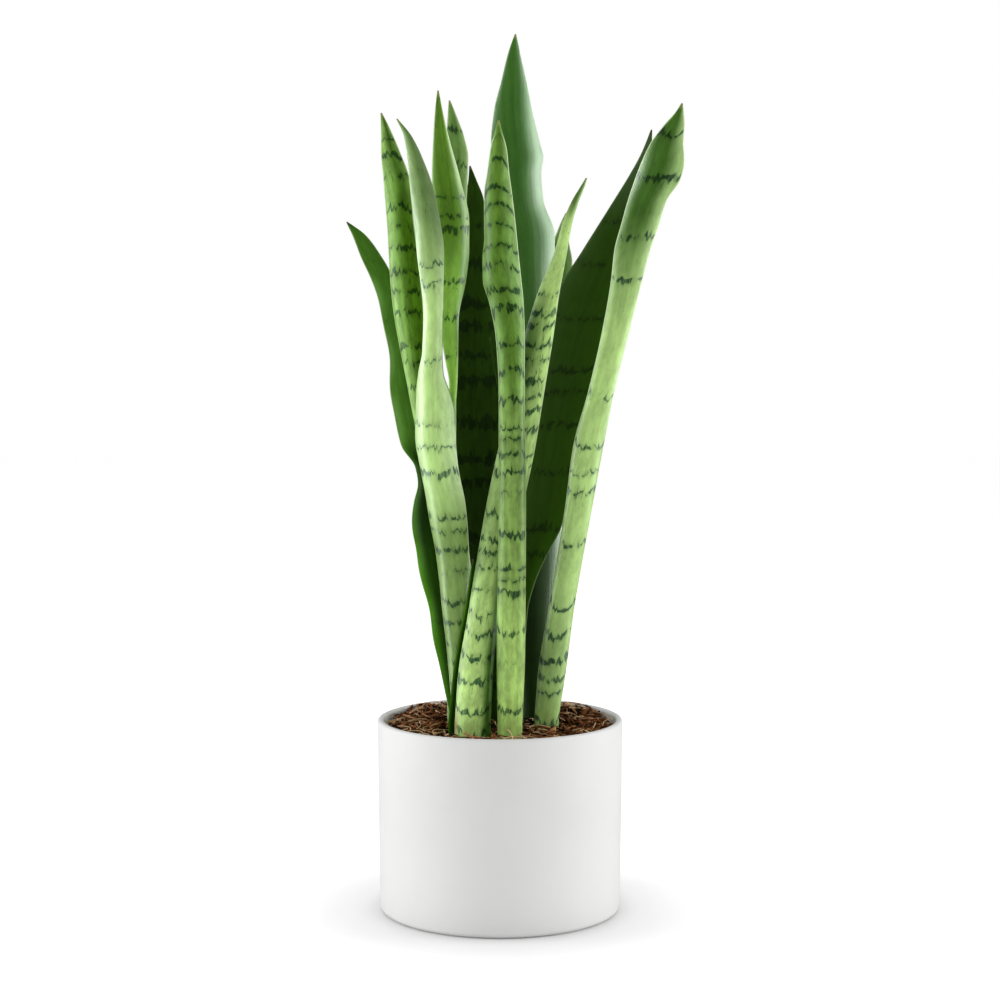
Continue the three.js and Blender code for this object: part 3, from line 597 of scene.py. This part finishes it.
def stand_in_for(piece, node):
    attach(piece, "root")
    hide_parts(node)


# Leaf shapes


def blend_slopes(before, after):
    """Slope where two spans meet, chosen so that the curve doesn't overshoot."""
    if before is None:
        return after
    if after is None:
        return before
    if before * after <= 0:
        return 0
    return 2 * before * after / (before + after)


def cut_at(cuts, z):
    """Smooth value of every column of the cuts at one height."""
    if z <= cuts[0][0]:
        return cuts[0][1:]
    if z >= cuts[-1][0]:
        return cuts[-1][1:]
    i = max(k for k in range(len(cuts)) if cuts[k][0] <= z)
    span = cuts[i + 1][0] - cuts[i][0]
    t = (z - cuts[i][0]) / span
    values = []
    for column in range(1, len(cuts[0])):
        slopes = []
        for k in (i - 1, i, i + 1):
            if k < 0 or k >= len(cuts) - 1:
                slopes.append(None)
            else:
                rise = cuts[k + 1][column] - cuts[k][column]
                slopes.append(rise / (cuts[k + 1][0] - cuts[k][0]))
        start = blend_slopes(slopes[0], slopes[1]) * span
        end = blend_slopes(slopes[1], slopes[2]) * span
        swing = t * t * (3 - 2 * t)
        level = lerp(cuts[i][column], cuts[i + 1][column], swing)
        values.append(level + start * t * (1 - t) ** 2 - end * t * t * (1 - t))
    return values


def blade_ring(leaf, z):
    """Points of one level section, with each point's share across and distance along the arc."""
    cuts = leaf["cuts"]
    left, right, chord_y, roll_degrees, turn_degrees = cut_at(cuts, z)
    tip_z = cuts[-1][0]
    turn = math.radians(turn_degrees)
    roll = math.radians(math.copysign(max(abs(roll_degrees), LEAST_ROLL), roll_degrees))
    radius = (right - left) / 2 / math.cos(turn) / math.sin(roll)
    along = np.array([math.cos(turn), math.sin(turn)])
    forward = np.array([math.sin(turn), -math.cos(turn)])
    middle = np.array([(left + right) / 2, chord_y])
    foot_thickness, tip_thickness = leaf.get("thickness", (FOOT_THICKNESS, TIP_THICKNESS))
    grown = min(max((z - STRAIGHT_FOOT_TOP) / (tip_z - STRAIGHT_FOOT_TOP), 0), 1)
    middle_thickness = lerp(foot_thickness, tip_thickness, math.sqrt(grown))
    swing_size, wavelength, start = leaf["wave"]
    fade = smooth(z, STRAIGHT_FOOT_TOP, STRAIGHT_FOOT_TOP + WAVE_FADE) * smooth(tip_z - z, 0, WAVE_FADE)

    def on_blade(across, side):
        """A point between the front face, where side is 1, and the back face, where it is -1."""
        angle = roll * across
        phase = math.radians(start + (RIGHT_MARGIN_LAG if across > 0 else 0))
        swing = swing_size * math.sin(2 * math.pi * z / wavelength + phase) * fade
        point = middle + along * radius * math.sin(angle)
        point = point + forward * (radius * (math.cos(angle) - math.cos(roll)) + swing * across**2)
        outward = along * math.sin(angle) + forward * math.cos(angle)
        half = lerp(middle_thickness, MARGIN_THICKNESS, across**2) / 2
        return point + outward * half * side

    # Each face from edge to edge, and then the points from face to face at the edge it ends at
    rows = []
    for side in (1, -1):
        for j in range(STRIPS + 1):
            across = math.sin(math.pi / 2 * lerp(-side, side, j / STRIPS))
            rows.append((on_blade(across, side), across))
        for j in range(1, MARGIN_PIECES):
            rows.append((on_blade(side, side * math.cos(math.pi * j / MARGIN_PIECES)), side))
    arc = radius * roll
    return [(x, y, z) for (x, y), _ in rows], [(share, arc * share) for _, share in rows]


def band_facts(leaf, z, across):
    """Running number of the bands, their spacing and their half thickness at one place of a leaf.

    The number is whole on the middle line of every band and grows evenly between two bands.
    """
    foot_arch, tip_arch = leaf.get("arch", (0, 0))
    grown = (z - STRAIGHT_FOOT_TOP) / (leaf["cuts"][-1][0] - STRAIGHT_FOOT_TOP)
    level = z - lerp(foot_arch, tip_arch, smooth(grown, 0, 1)) * (0.5 - across * across)
    bands = leaf["bands"]
    heights = sorted(bands)
    halves = [bands[height] / 2 for height in heights]
    # One more band, which doesn't show, lies beyond each end.
    heights = [heights[0] - END_SPACING, *heights, heights[-1] + END_SPACING]
    halves = [-1, *halves, -1]
    steps = np.diff(heights)
    spacings = np.concatenate([steps[:1], (steps[1:] + steps[:-1]) / 2, steps[-1:]])
    number = np.interp(level, heights, range(len(heights)))
    return number, np.interp(level, heights, spacings), np.interp(level, heights, halves)


def make_blade(name, leaf):
    tip_z = leaf["cuts"][-1][0]
    count = math.ceil((tip_z - STRAIGHT_FOOT_TOP) / RING_STEP)
    heights = [LEAF_FOOT, (LEAF_FOOT + STRAIGHT_FOOT_TOP) / 2]
    heights += [lerp(STRAIGHT_FOOT_TOP, tip_z, i / count) for i in range(count + 1)]
    positions, place, band = [], [], []
    for z in heights:
        ring, shares = blade_ring(leaf, z)
        positions += ring
        place += [(share, arc, tip_z - z) for share, arc in shares]
        band += [band_facts(leaf, z, share) for share, _ in shares]
    faces = tube_faces(len(heights), RING_POINTS) + end_faces(len(heights), RING_POINTS)
    return closed_mesh(name + "_blade", positions, faces, {"leaf_place": place, "leaf_band": band})


# Materials


class Nodes:
    """Short calls that build the nodes of one material."""

    def __init__(self, name):
        self.material = bpy.data.materials.new(name)
        self.material.use_nodes = True
        self.tree = self.material.node_tree
        self.surface = self.tree.nodes["Principled BSDF"]

    def add(self, kind, **settings):
        node = self.tree.nodes.new(kind)
        for key, value in settings.items():
            setattr(node, key, value)
        return node

    def set(self, socket, value):
        if isinstance(value, bpy.types.NodeSocket):
            self.tree.links.new(value, socket)
        elif isinstance(value, tuple) and len(value) == 3 and socket.type == "RGBA":
            socket.default_value = (*value, 1)
        else:
            socket.default_value = value

    def math(self, operation, *values, clamp=False):
        node = self.add("ShaderNodeMath", operation=operation, use_clamp=clamp)
        for socket, value in zip(node.inputs, values):
            self.set(socket, value)
        return node.outputs[0]

    def product(self, *values):
        result = values[0]
        for value in values[1:]:
            result = self.math("MULTIPLY", result, value)
        return result

    def ramp(self, value, low, high, start=0.0, end=1.0):
        """Smooth step from start at low to end at high."""
        node = self.add("ShaderNodeMapRange", interpolation_type="SMOOTHSTEP")
        for socket, given in zip(node.inputs, (value, low, high, start, end)):
            self.set(socket, given)
        return node.outputs[0]

    def step(self, name, value):
        return self.ramp(value, *STEPS[name])

    def mix(self, share, a, b, blend="MIX"):
        node = self.add("ShaderNodeMix", data_type="RGBA", blend_type=blend)
        self.set(node.inputs[0], share)
        self.set(node.inputs[6], a)
        self.set(node.inputs[7], b)
        return node.outputs[2]

    def tint(self, colour, by):
        return self.mix(1.0, colour, by, "MULTIPLY")

    def vector(self, x, y, z):
        node = self.add("ShaderNodeCombineXYZ")
        for socket, value in zip(node.inputs, (x, y, z)):
            self.set(socket, value)
        return node.outputs[0]

    def noise(self, place, scale=1.0, detail=2.0, roughness=0.5):
        node = self.add("ShaderNodeTexNoise")
        self.set(node.inputs["Vector"], place)
        self.set(node.inputs["Scale"], scale)
        self.set(node.inputs["Detail"], detail)
        self.set(node.inputs["Roughness"], roughness)
        return node.outputs[0]

    def attribute(self, name):
        node = self.add("ShaderNodeAttribute", attribute_name=name)
        split = self.add("ShaderNodeSeparateXYZ")
        self.tree.links.new(node.outputs["Vector"], split.inputs[0])
        return split.outputs

    def place(self):
        """The point's place in the object, in millimetres, and its height."""
        coordinates = self.add("ShaderNodeTexCoord")
        scaled = self.add("ShaderNodeVectorMath", operation="SCALE")
        self.set(scaled.inputs[0], coordinates.outputs["Object"])
        scaled.inputs["Scale"].default_value = 1 / MM
        split = self.add("ShaderNodeSeparateXYZ")
        self.tree.links.new(scaled.outputs[0], split.inputs[0])
        return scaled.outputs[0], split.outputs[2]

    def bump(self, height, strength, distance_mm):
        """Fine relief in the material, on top of the shape."""
        node = self.add("ShaderNodeBump")
        node.inputs["Strength"].default_value = strength
        node.inputs["Distance"].default_value = distance_mm * MM
        self.set(node.inputs["Height"], height)
        self.set(self.surface.inputs["Normal"], node.outputs[0])

    def finish(self, colour, roughness, shine):
        self.set(self.surface.inputs["Base Color"], colour)
        self.set(self.surface.inputs["Roughness"], roughness)
        self.surface.inputs["Specular IOR Level"].default_value = shine


class Skin(Nodes):
    """The material of one leaf."""

    def __init__(self, name, look_name, seed):
        super().__init__(name)
        self.look = LOOKS[look_name]
        self.seed = seed
        self.across, self.arc, self.to_tip = self.attribute("leaf_place")
        self.band_number, self.spacing, self.half_band = self.attribute("leaf_band")
        _, self.height = self.place()
        from_middle = self.math("ABSOLUTE", self.arc)
        away = self.math("MAXIMUM", self.math("ABSOLUTE", self.across), LEAST_ACROSS)
        self.half_width = self.math("DIVIDE", from_middle, away)
        self.to_margin = self.math("SUBTRACT", self.half_width, from_middle)
        self.fibres, self.streaks = self.pattern("fibres"), self.pattern("streaks")

        colour = self.marked(self.ground())
        colour = self.shaded(self.edged(colour))
        awn = DARK_AWN_COLOUR if look_name in DARK_LOOKS else AWN_COLOUR
        colour = self.mix(self.step("dry_tip", self.to_tip), colour, awn)
        least = self.look["roughness"]
        roughness = self.ramp(self.streaks, *GLOSS_LIMITS, least, least + ROUGHNESS_RISE)
        self.finish(colour, roughness, self.look["shine"])
        self.surface.inputs["Specular Tint"].default_value = SHINE_TINT
        relief = self.math("MULTIPLY", self.streaks, STREAK_RELIEF_SHARE)
        self.bump(self.math("ADD", self.fibres, relief), *SKIN_RELIEF)

    def pattern(self, name):
        """Noise stretched along the leaf."""
        cells_across, cells_along, offset, detail, roughness = NOISES[name]
        x = self.math("MULTIPLY", self.arc, cells_across)
        y = self.math("MULTIPLY", self.height, cells_along)
        return self.noise(self.vector(x, y, self.seed + offset), detail=detail, roughness=roughness)

    def ground(self):
        """Colour of the middle and the sides, whose paler sides and foot are partly painted light, toned
        by mottling, streaks and fibres.
        """
        look = self.look
        change = self.ramp(self.height, *look["change"])
        colour = self.mix(change, look["low"], look["high"])
        side = self.mix(change, look["side"], look.get("side_high", look["side"]))
        for direction, (share_low, share_high, start, full) in zip((-1, 1), look["sides"]):
            share = self.ramp(self.height, *look["change"], share_low, share_high)
            outwards = self.ramp(self.math("MULTIPLY", self.across, direction), start, full)
            colour = self.mix(self.math("MULTIPLY", outwards, share), colour, side)
        mottle, streak = look["mottle"], look["streaks"]
        # The foot is made paler: partly the leaf's own paler base, partly painted light where the pot's
        # rim and the other leaves shade it.
        tone = self.product(
            self.ramp(self.pattern("mottling"), *MOTTLING_LIMITS, 1 - mottle, 1 + mottle),
            self.ramp(self.streaks, *STREAK_LIMITS, 1 - streak, 1 + streak),
            self.step("fibre_tone", self.fibres),
            self.step("pale_foot_painted_light", self.height),
        )
        grey = self.add("ShaderNodeCombineColor")
        for socket in grey.inputs:
            self.set(socket, tone)
        return self.tint(colour, grey.outputs[0])

    def band_line(self, thread):
        """Height above the middle line of the nearest band, a chain of swags with ragged edges."""
        drift = self.pattern("drift")
        turn = self.math("MULTIPLY", self.arc, SWAG_RADIANS_PER_MM)
        turn = self.math("ADD", turn, self.math("MULTIPLY", drift, SWAG_RADIANS_BY_DRIFT))
        swag = self.math("ABSOLUTE", self.math("SINE", turn))
        shift = 0.0
        swings = [
            (swag, SWAG_SWING), (drift, DRIFT_SWING),
            (self.pattern("jitter"), JITTER_SWING), (thread, THREAD_SWING),
        ]
        for source, size in swings:
            swing = self.math("MULTIPLY", self.math("SUBTRACT", source, 0.5), size)
            shift = self.math("ADD", shift, swing)
        if "calm" in self.look:
            calm = self.ramp(self.height, *self.look["calm"], 1.0, CALM_SHARE)
            shift = self.math("MULTIPLY", shift, calm)
        number = self.math("ADD", self.band_number, self.math("DIVIDE", shift, self.spacing))
        line = self.math("SUBTRACT", self.math("FRACT", self.math("ADD", number, 0.5)), 0.5)
        return self.math("MULTIPLY", line, self.spacing)

    def marked(self, colour):
        """Bands that break up here and there, what hangs below them, and short dark flecks."""
        thread = self.pattern("thread")
        line = self.band_line(thread)
        from_line = self.math("ABSOLUTE", line)
        width = self.math("MULTIPLY", self.half_band, BAND_SPREAD)
        width = self.math("MULTIPLY", width, self.step("band_width", self.pattern("band_width")))
        # Short strokes along the fibres make up the bands, some of them faint.
        band = self.product(
            self.step("band_edge", self.math("SUBTRACT", width, from_line)),
            self.step("band_start", width),
            self.step("stroke", self.pattern("strokes")),
        )
        # Threads of the same dark green hang below each band, in a darker haze.
        drip = self.product(
            self.step("drip_end", line), self.step("drip_top", line),
            self.step("drip_thread", thread), self.step("drip_start", width),
        )
        haze = self.product(self.step("haze", from_line), self.step("haze_start", width))
        fleck = self.product(
            self.step("fleck", self.pattern("flecks")),
            self.step("fleck_patch", self.pattern("fleck_patches")),
            self.step("fleck_by_band", from_line),
            self.look["flecks"],
        )
        marks = band
        for other in (drip, haze, fleck):
            marks = self.math("MAXIMUM", marks, other)
        marks = self.math("MULTIPLY", marks, self.look["bands"], clamp=True)
        return self.mix(marks, colour, self.tint(colour, self.look.get("band_tint", BAND_TINT)))

    def edged(self, colour):
        """Straw-coloured sheath at the left of the foot, and a pale line along the edges."""
        if "straw" in self.look:
            sheath = self.ramp(self.height, *SHEATH_HEIGHTS, self.look["straw"], 0.0)
            sheath = self.math("MULTIPLY", sheath, self.step("sheath_side", self.across))
            colour = self.mix(sheath, colour, FOOT_STRAW)
        margin = self.ramp(self.to_margin, *MARGIN_LINE, self.look["margin"], 0.0)
        margin = self.math("MULTIPLY", margin, self.step("margin_start", self.half_width))
        return self.mix(margin, colour, PALE_MARGIN)

    def shaded(self, colour):
        # Painted shade: each stretch darkens the blade where it lies in shade, most often under a
        # neighbour.
        for start, full, foot, foot_full, top_full, top, strength in self.look.get("shades", ()):
            shade = self.product(
                self.ramp(self.across, start, full),
                self.ramp(self.height, foot, foot_full),
                self.ramp(self.height, top_full, top, strength, 0.0),
            )
            colour = self.mix(shade, colour, self.tint(colour, SHADE_TINT))
        return colour


def pot_material():
    n = Nodes("pot_ceramic_matte")
    place, height = n.place()
    cloud = n.noise(place, scale=0.02, detail=3)
    grain = n.noise(place, scale=1.4, detail=2)
    colour = n.mix(n.step("ceramic_cloud", cloud), *CERAMIC_COLOURS)
    # Painted light: the lower wall is made lighter towards the bottom, where it would fall darker.
    colour = n.mix(n.step("lower_wall_painted_light", height), colour, LOWER_WALL_PAINTED_LIGHT)
    # Painted shade: the lowest few millimetres of the pot are darkened.
    colour = n.mix(n.step("pot_foot_painted_shade", height), colour, POT_FOOT_PAINTED_SHADE)
    n.finish(colour, n.step("ceramic_roughness", grain), shine=0.1)
    relief = n.math("ADD", n.math("MULTIPLY", grain, 0.3), cloud)
    n.bump(relief, strength=0.12, distance_mm=0.4)
    return n.material


def mulch_material():
    n = Nodes("bark_and_coir")
    tone, along, kind = n.attribute("shred_tone")
    place, _ = n.place()
    grain = n.noise(place, scale=0.9, detail=3, roughness=0.6)
    bark = n.mix(n.step("bark", tone), *BARK_COLOURS)
    bark = n.mix(n.step("pale_bark", tone), bark, PALE_BARK_COLOUR)
    coir = n.mix(n.step("coir", tone), *COIR_COLOURS)
    colour = n.mix(kind, bark, coir)
    colour = n.mix(n.step("mulch_crack", grain), colour, MULCH_CRACK_COLOUR)
    n.finish(colour, n.step("mulch_roughness", grain), shine=0.05)
    relief = n.math("MULTIPLY", grain, n.step("mulch_relief", along))
    n.bump(relief, strength=0.6, distance_mm=0.5)
    return n.material


def soil_material():
    n = Nodes("potting_mix")
    place, _ = n.place()
    crumbs = n.noise(place, scale=0.5, detail=5, roughness=0.7)
    colour = n.mix(n.step("soil", crumbs), *SOIL_COLOURS)
    n.finish(colour, n.step("soil_roughness", crumbs), shine=0.5)
    n.bump(crumbs, strength=0.8, distance_mm=1.5)
    return n.material


# Pot


def rounded(centre_r, centre_z, radius, from_angle, to_angle):
    points = []
    for i in range(ROUND_PIECES + 1):
        angle = math.radians(lerp(from_angle, to_angle, i / ROUND_PIECES))
        points.append((centre_r + radius * math.cos(angle), centre_z + radius * math.sin(angle)))
    return points


def inside_radius(z):
    return lerp(FOOT_RADIUS, RIM_RADIUS, z / POT_HEIGHT) - POT_WALL


def make_pot():
    inside_foot = inside_radius(POT_FLOOR) - INSIDE_ROUND
    lip_z = POT_HEIGHT - LIP_ROUND
    profile = rounded(FOOT_RADIUS - FOOT_ROUND, FOOT_ROUND, FOOT_ROUND, -90, 0)
    profile += rounded(RIM_RADIUS - LIP_ROUND, lip_z, LIP_ROUND, 0, 90)
    profile += rounded(RIM_RADIUS - POT_WALL + LIP_ROUND, lip_z, LIP_ROUND, 90, 180)
    profile += rounded(inside_foot, POT_FLOOR + INSIDE_ROUND, INSIDE_ROUND, 0, -90)
    positions = [(r * x, r * y, z) for r, z in profile for x, y in around(POT_SEGMENTS)]
    faces = tube_faces(len(profile), POT_SEGMENTS)
    top = (len(profile) - 1) * POT_SEGMENTS
    underside, inside = len(positions), len(positions) + 1
    positions += [(0, 0, 0), (0, 0, POT_FLOOR)]
    for k in range(POT_SEGMENTS):
        after = (k + 1) % POT_SEGMENTS
        faces.append((underside, after, k))
        faces.append((inside, top + k, top + after))
    pot = closed_mesh("pot_body", positions, faces, {})
    stand_in_for(pot, "pot")
    pot.data.materials.append(pot_material())


# Mulch


def mulch_top(x, y):
    share = min(math.hypot(x, y) / inside_radius(SOIL_TOP), 1)
    level = lerp(MULCH_MIDDLE_TOP, MULCH_WALL_TOP, share * share) + MULCH_RISE_TO_BACK * y
    for heap_x, heap_y, height, radius in MULCH_HEAPS:
        level += height * smooth(radius - math.hypot(x - heap_x, y - heap_y), 0, radius)
    return level


def leaf_feet():
    """Every other point round the foot of every leaf."""
    feet = []
    for leaf in LEAVES.values():
        ring, _ = blade_ring(leaf, STRAIGHT_FOOT_TOP)
        feet += [(x, y) for x, y, _ in ring[::2]]
    return np.array(feet)


def unit(vector):
    return vector / (np.linalg.norm(vector) + 1e-9)


class Heap:
    """Collects the bed, the shreds and the fibres as one mesh."""

    def __init__(self):
        self.rng = random.Random(MULCH_SEED)
        self.feet = leaf_feet()
        self.wall = inside_radius(SOIL_TOP) - MULCH_TO_WALL
        self.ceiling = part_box("mulch")[1][2] / MM
        self.positions, self.faces, self.tones = [], [], []

    def add_bed(self):
        """The bed under the shreds is uneven above and closed below."""
        # Its dark bark tones are painted shade that shows in the gaps between the shreds.
        for ring in range(BED_RINGS + 1):
            r = self.wall * ring / BED_RINGS
            for cosine, sine in around(BED_SPOKES):
                x, y = r * cosine, r * sine
                rough = 0 if ring == 0 else self.rng.uniform(-BED_ROUGHNESS, BED_ROUGHNESS)
                self.positions.append((x, y, mulch_top(x, y) - BED_DEPTH + rough))
                self.tones.append((self.rng.uniform(0, BED_MOST_TONE), 0.5, BARK))
        low = len(self.positions)
        for cosine, sine in around(BED_SPOKES):
            self.positions.append((self.wall * cosine, self.wall * sine, SOIL_TOP + FIT_GAP))
            self.tones.append((BED_SIDE_TONE, 0.5, BARK))
        for a, b, b_out, a_out in tube_faces(BED_RINGS + 1, BED_SPOKES):
            self.faces.append((a, a_out, b_out, b))
        edge = BED_RINGS * BED_SPOKES
        for spoke in range(BED_SPOKES):
            after = (spoke + 1) % BED_SPOKES
            self.faces.append((edge + spoke, low + spoke, low + after, edge + after))
        self.faces.append(tuple(low + spoke for spoke in reversed(range(BED_SPOKES))))

    def drawn_place(self):
        r = (self.wall - STRAND_MIDDLE_TO_WALL) * math.sqrt(self.rng.random())
        angle = self.rng.uniform(0, 2 * math.pi)
        return r * math.cos(angle), r * math.sin(angle)

    def drawn_heading(self):
        return self.rng.uniform(0, 2 * math.pi)

    def lie(self, place, reach, heading, bow, lift, slant, count):
        """Spine of a strand that lies on the bed, kept inside the wall and under the ceiling."""
        limit = self.wall - STRAND_TO_WALL
        spine = []
        for i in range(count):
            t = i / (count - 1) - 0.5
            bend = bow * (1 - 4 * t * t)
            x = place[0] + math.cos(heading) * reach * t - math.sin(heading) * bend
            y = place[1] + math.sin(heading) * reach * t + math.cos(heading) * bend
            out = math.hypot(x, y)
            if out > limit:
                x, y = x * limit / out, y * limit / out
            z = mulch_top(x, y) + lift * (1 - 3 * t * t) + slant * t
            spine.append(np.array([x, y, min(z, self.ceiling - CLEAR_OF_CEILING)]))
        return spine

    def is_clear(self, spine, room):
        places = np.array([point[:2] for point in spine])
        gaps = np.hypot(*(places[:, None] - self.feet[None]).transpose(2, 0, 1))
        return gaps.min() > room

    def strand(self, spine, widths, thickness, roll, tone, kind):
        """A strip or fibre along a spine, closed at both ends."""
        first, last = len(self.positions), len(spine) - 1
        for i, point in enumerate(spine):
            ahead = unit(spine[min(i + 1, last)] - spine[max(i - 1, 0)])
            level = unit(np.cross(ahead, (0, 0, 1)))
            up = np.cross(level, ahead)
            twist = roll * (i / last - 0.5)
            flat = level * math.cos(twist) + up * math.sin(twist)
            upright = up * math.cos(twist) - level * math.sin(twist)
            for k in range(STRAND_SIDES):
                angle = 2 * math.pi * (k + 0.5) / STRAND_SIDES
                offset = flat * math.cos(angle) * widths[i] + upright * math.sin(angle) * thickness
                self.positions.append(tuple(point + offset))
                self.tones.append((tone, i / last, kind))
        self.faces += tube_faces(len(spine), STRAND_SIDES, first)
        self.faces += end_faces(len(spine), STRAND_SIDES, first)

    def add_shred(self):
        draw = self.rng.uniform
        place = self.drawn_place()
        reach = draw(*SHRED_LENGTHS) * draw(*SHRED_SHORTENINGS)
        heading = self.drawn_heading()
        bow, lift, slant = draw(*SHRED_BOWS), draw(*SHRED_LIFTS), draw(*SHRED_SLANTS)
        spine = self.lie(place, reach, heading, bow, lift, slant, SHRED_POINTS)
        is_chip = self.rng.random() < CHIP_SHARE
        width = draw(*CHIP_WIDTHS) if is_chip else draw(*SHRED_WIDTHS)
        if self.is_clear(spine, CLEAR_OF_LEAF + width / 2):
            widths = [width * share for share in (0.35, 0.85, 1, draw(0.6, 1), 0.3)]
            thickness, twist = draw(*SHRED_THICKNESSES), draw(*SHRED_TWISTS)
            self.strand(spine, widths, thickness, twist, self.rng.random(), BARK)

    def add_fibre(self):
        draw = self.rng.uniform
        place = self.drawn_place()
        is_stray = self.rng.random() < STRAY_SHARE
        slant = draw(*STRAY_SLANTS) if is_stray else draw(*FIBRE_SLANTS)
        reach, heading = draw(*FIBRE_LENGTHS), self.drawn_heading()
        bow, lift = draw(*FIBRE_BOWS), draw(*FIBRE_LIFTS)
        spine = self.lie(place, reach, heading, bow, lift, slant, FIBRE_POINTS)
        if self.is_clear(spine, CLEAR_OF_LEAF):
            radius = draw(*FIBRE_RADII)
            tone = STRAY_TONE if is_stray else self.rng.random()
            self.strand(spine, [radius] * FIBRE_POINTS, radius, 0, tone, COIR)


def make_mulch():
    heap = Heap()
    heap.add_bed()
    for _ in range(SHRED_COUNT):
        heap.add_shred()
    for _ in range(FIBRE_COUNT):
        heap.add_fibre()
    mulch = closed_mesh("mulch_shreds", heap.positions, heap.faces, {"shred_tone": heap.tones})
    stand_in_for(mulch, "mulch")
    mulch.data.materials.append(mulch_material())


# Leaves


def make_leaves():
    for number, (name, leaf) in enumerate(LEAVES.items()):
        blade = make_blade(name, leaf)
        stand_in_for(blade, name)
        skin = Skin(name + "_skin", leaf["look"], number * SKIN_SEED_STEP)
        blade.data.materials.append(skin.material)


# Studio


def make_floor():
    mesh = bpy.data.meshes.new("floor")
    corners = [(-1, -1), (1, -1), (1, 1), (-1, 1)]
    mesh.from_pydata([(x * FLOOR_HALF, y * FLOOR_HALF, 0) for x, y in corners], [], [(0, 1, 2, 3)])
    floor = bpy.data.objects.new("floor", mesh)
    bpy.context.scene.collection.objects.link(floor)
    floor.visible_glossy = False
    n = Nodes("pale_floor")
    place, _ = n.place()
    length = n.add("ShaderNodeVectorMath", operation="LENGTH")
    n.set(length.inputs[0], place)
    radius = length.outputs["Value"]
    # Right round the pot it has a painted shadow.
    colour = n.mix(n.ramp(radius, *FLOOR_SHADE_RADII), FLOOR_PAINTED_SHADOW_COLOUR, FLOOR_COLOUR)
    n.finish(colour, roughness=0.9, shine=0.1)
    # The floor glows more with distance, so that it runs into the backdrop without a line. The glow is
    # painted light, and being weaker near the pot it also paints a soft shadow round it.
    near = n.ramp(radius, NEAR_RADIUS, MIDDLE_RADIUS, NEAR_GLOW, MIDDLE_GLOW)
    far = n.ramp(radius, MIDDLE_RADIUS, FAR_RADIUS, 0.0, FAR_GLOW - MIDDLE_GLOW)
    n.set(n.surface.inputs["Emission Color"], (1.0, 1.0, 1.0))
    n.set(n.surface.inputs["Emission Strength"], n.math("ADD", near, far))
    mesh.materials.append(n.material)


def make_backdrop():
    """The backdrop is white to the camera and dimmer as a light, and it isn't mirrored."""
    world = bpy.data.worlds.new("studio")
    world.use_nodes = True
    world.cycles_visibility.glossy = False
    nodes, link = world.node_tree.nodes, world.node_tree.links.new
    seen = nodes.new("ShaderNodeLightPath")
    level = nodes.new("ShaderNodeMapRange")
    level.inputs["To Min"].default_value = WORLD_LIGHT
    level.inputs["To Max"].default_value = 1.0
    link(seen.outputs["Is Camera Ray"], level.inputs["Value"])
    link(level.outputs[0], nodes["Background"].inputs["Strength"])
    nodes["Background"].inputs["Color"].default_value = (1, 1, 1, 1)
    bpy.context.scene.world = world


def make_light(name, azimuth, distance, height, size, watts):
    data = bpy.data.lights.new(name, "AREA")
    data.shape = "RECTANGLE"
    data.size, data.size_y = size
    data.energy = watts
    light = bpy.data.objects.new(name, data)
    angle = math.radians(azimuth)
    place = (distance * math.sin(angle), -distance * math.cos(angle), height)
    light.location = place
    direction = np.array(LIGHT_AIM, dtype=float) - np.array(place, dtype=float)
    yaw = math.atan2(direction[1], direction[0]) - math.pi / 2
    pitch = math.atan2(direction[2], math.hypot(direction[0], direction[1]))
    light.rotation_euler = (math.pi / 2 + pitch, 0, yaw)
    bpy.context.scene.collection.objects.link(light)
    return light


def make_lights():
    for facts in SOFT_LIGHTS:
        make_light(*facts).visible_glossy = False
    for facts in SHINE_LIGHTS:
        make_light(*facts).visible_diffuse = False


def make_camera():
    camera = bpy.data.objects.new("camera", bpy.data.cameras.new("camera"))
    camera.data.lens = CAMERA_LENS
    camera.data.sensor_width = CAMERA_SENSOR
    camera.location = CAMERA_PLACE
    camera.rotation_euler = (math.radians(90 - CAMERA_DIP), 0, 0)
    bpy.context.scene.collection.objects.link(camera)
    bpy.context.scene.camera = camera
    bpy.context.scene.view_settings.view_transform = "Standard"


make_floor()
make_backdrop()
make_lights()
make_camera()
make_pot()
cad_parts["soil"].material_slots[0].material = soil_material()
make_mulch()
make_leaves()
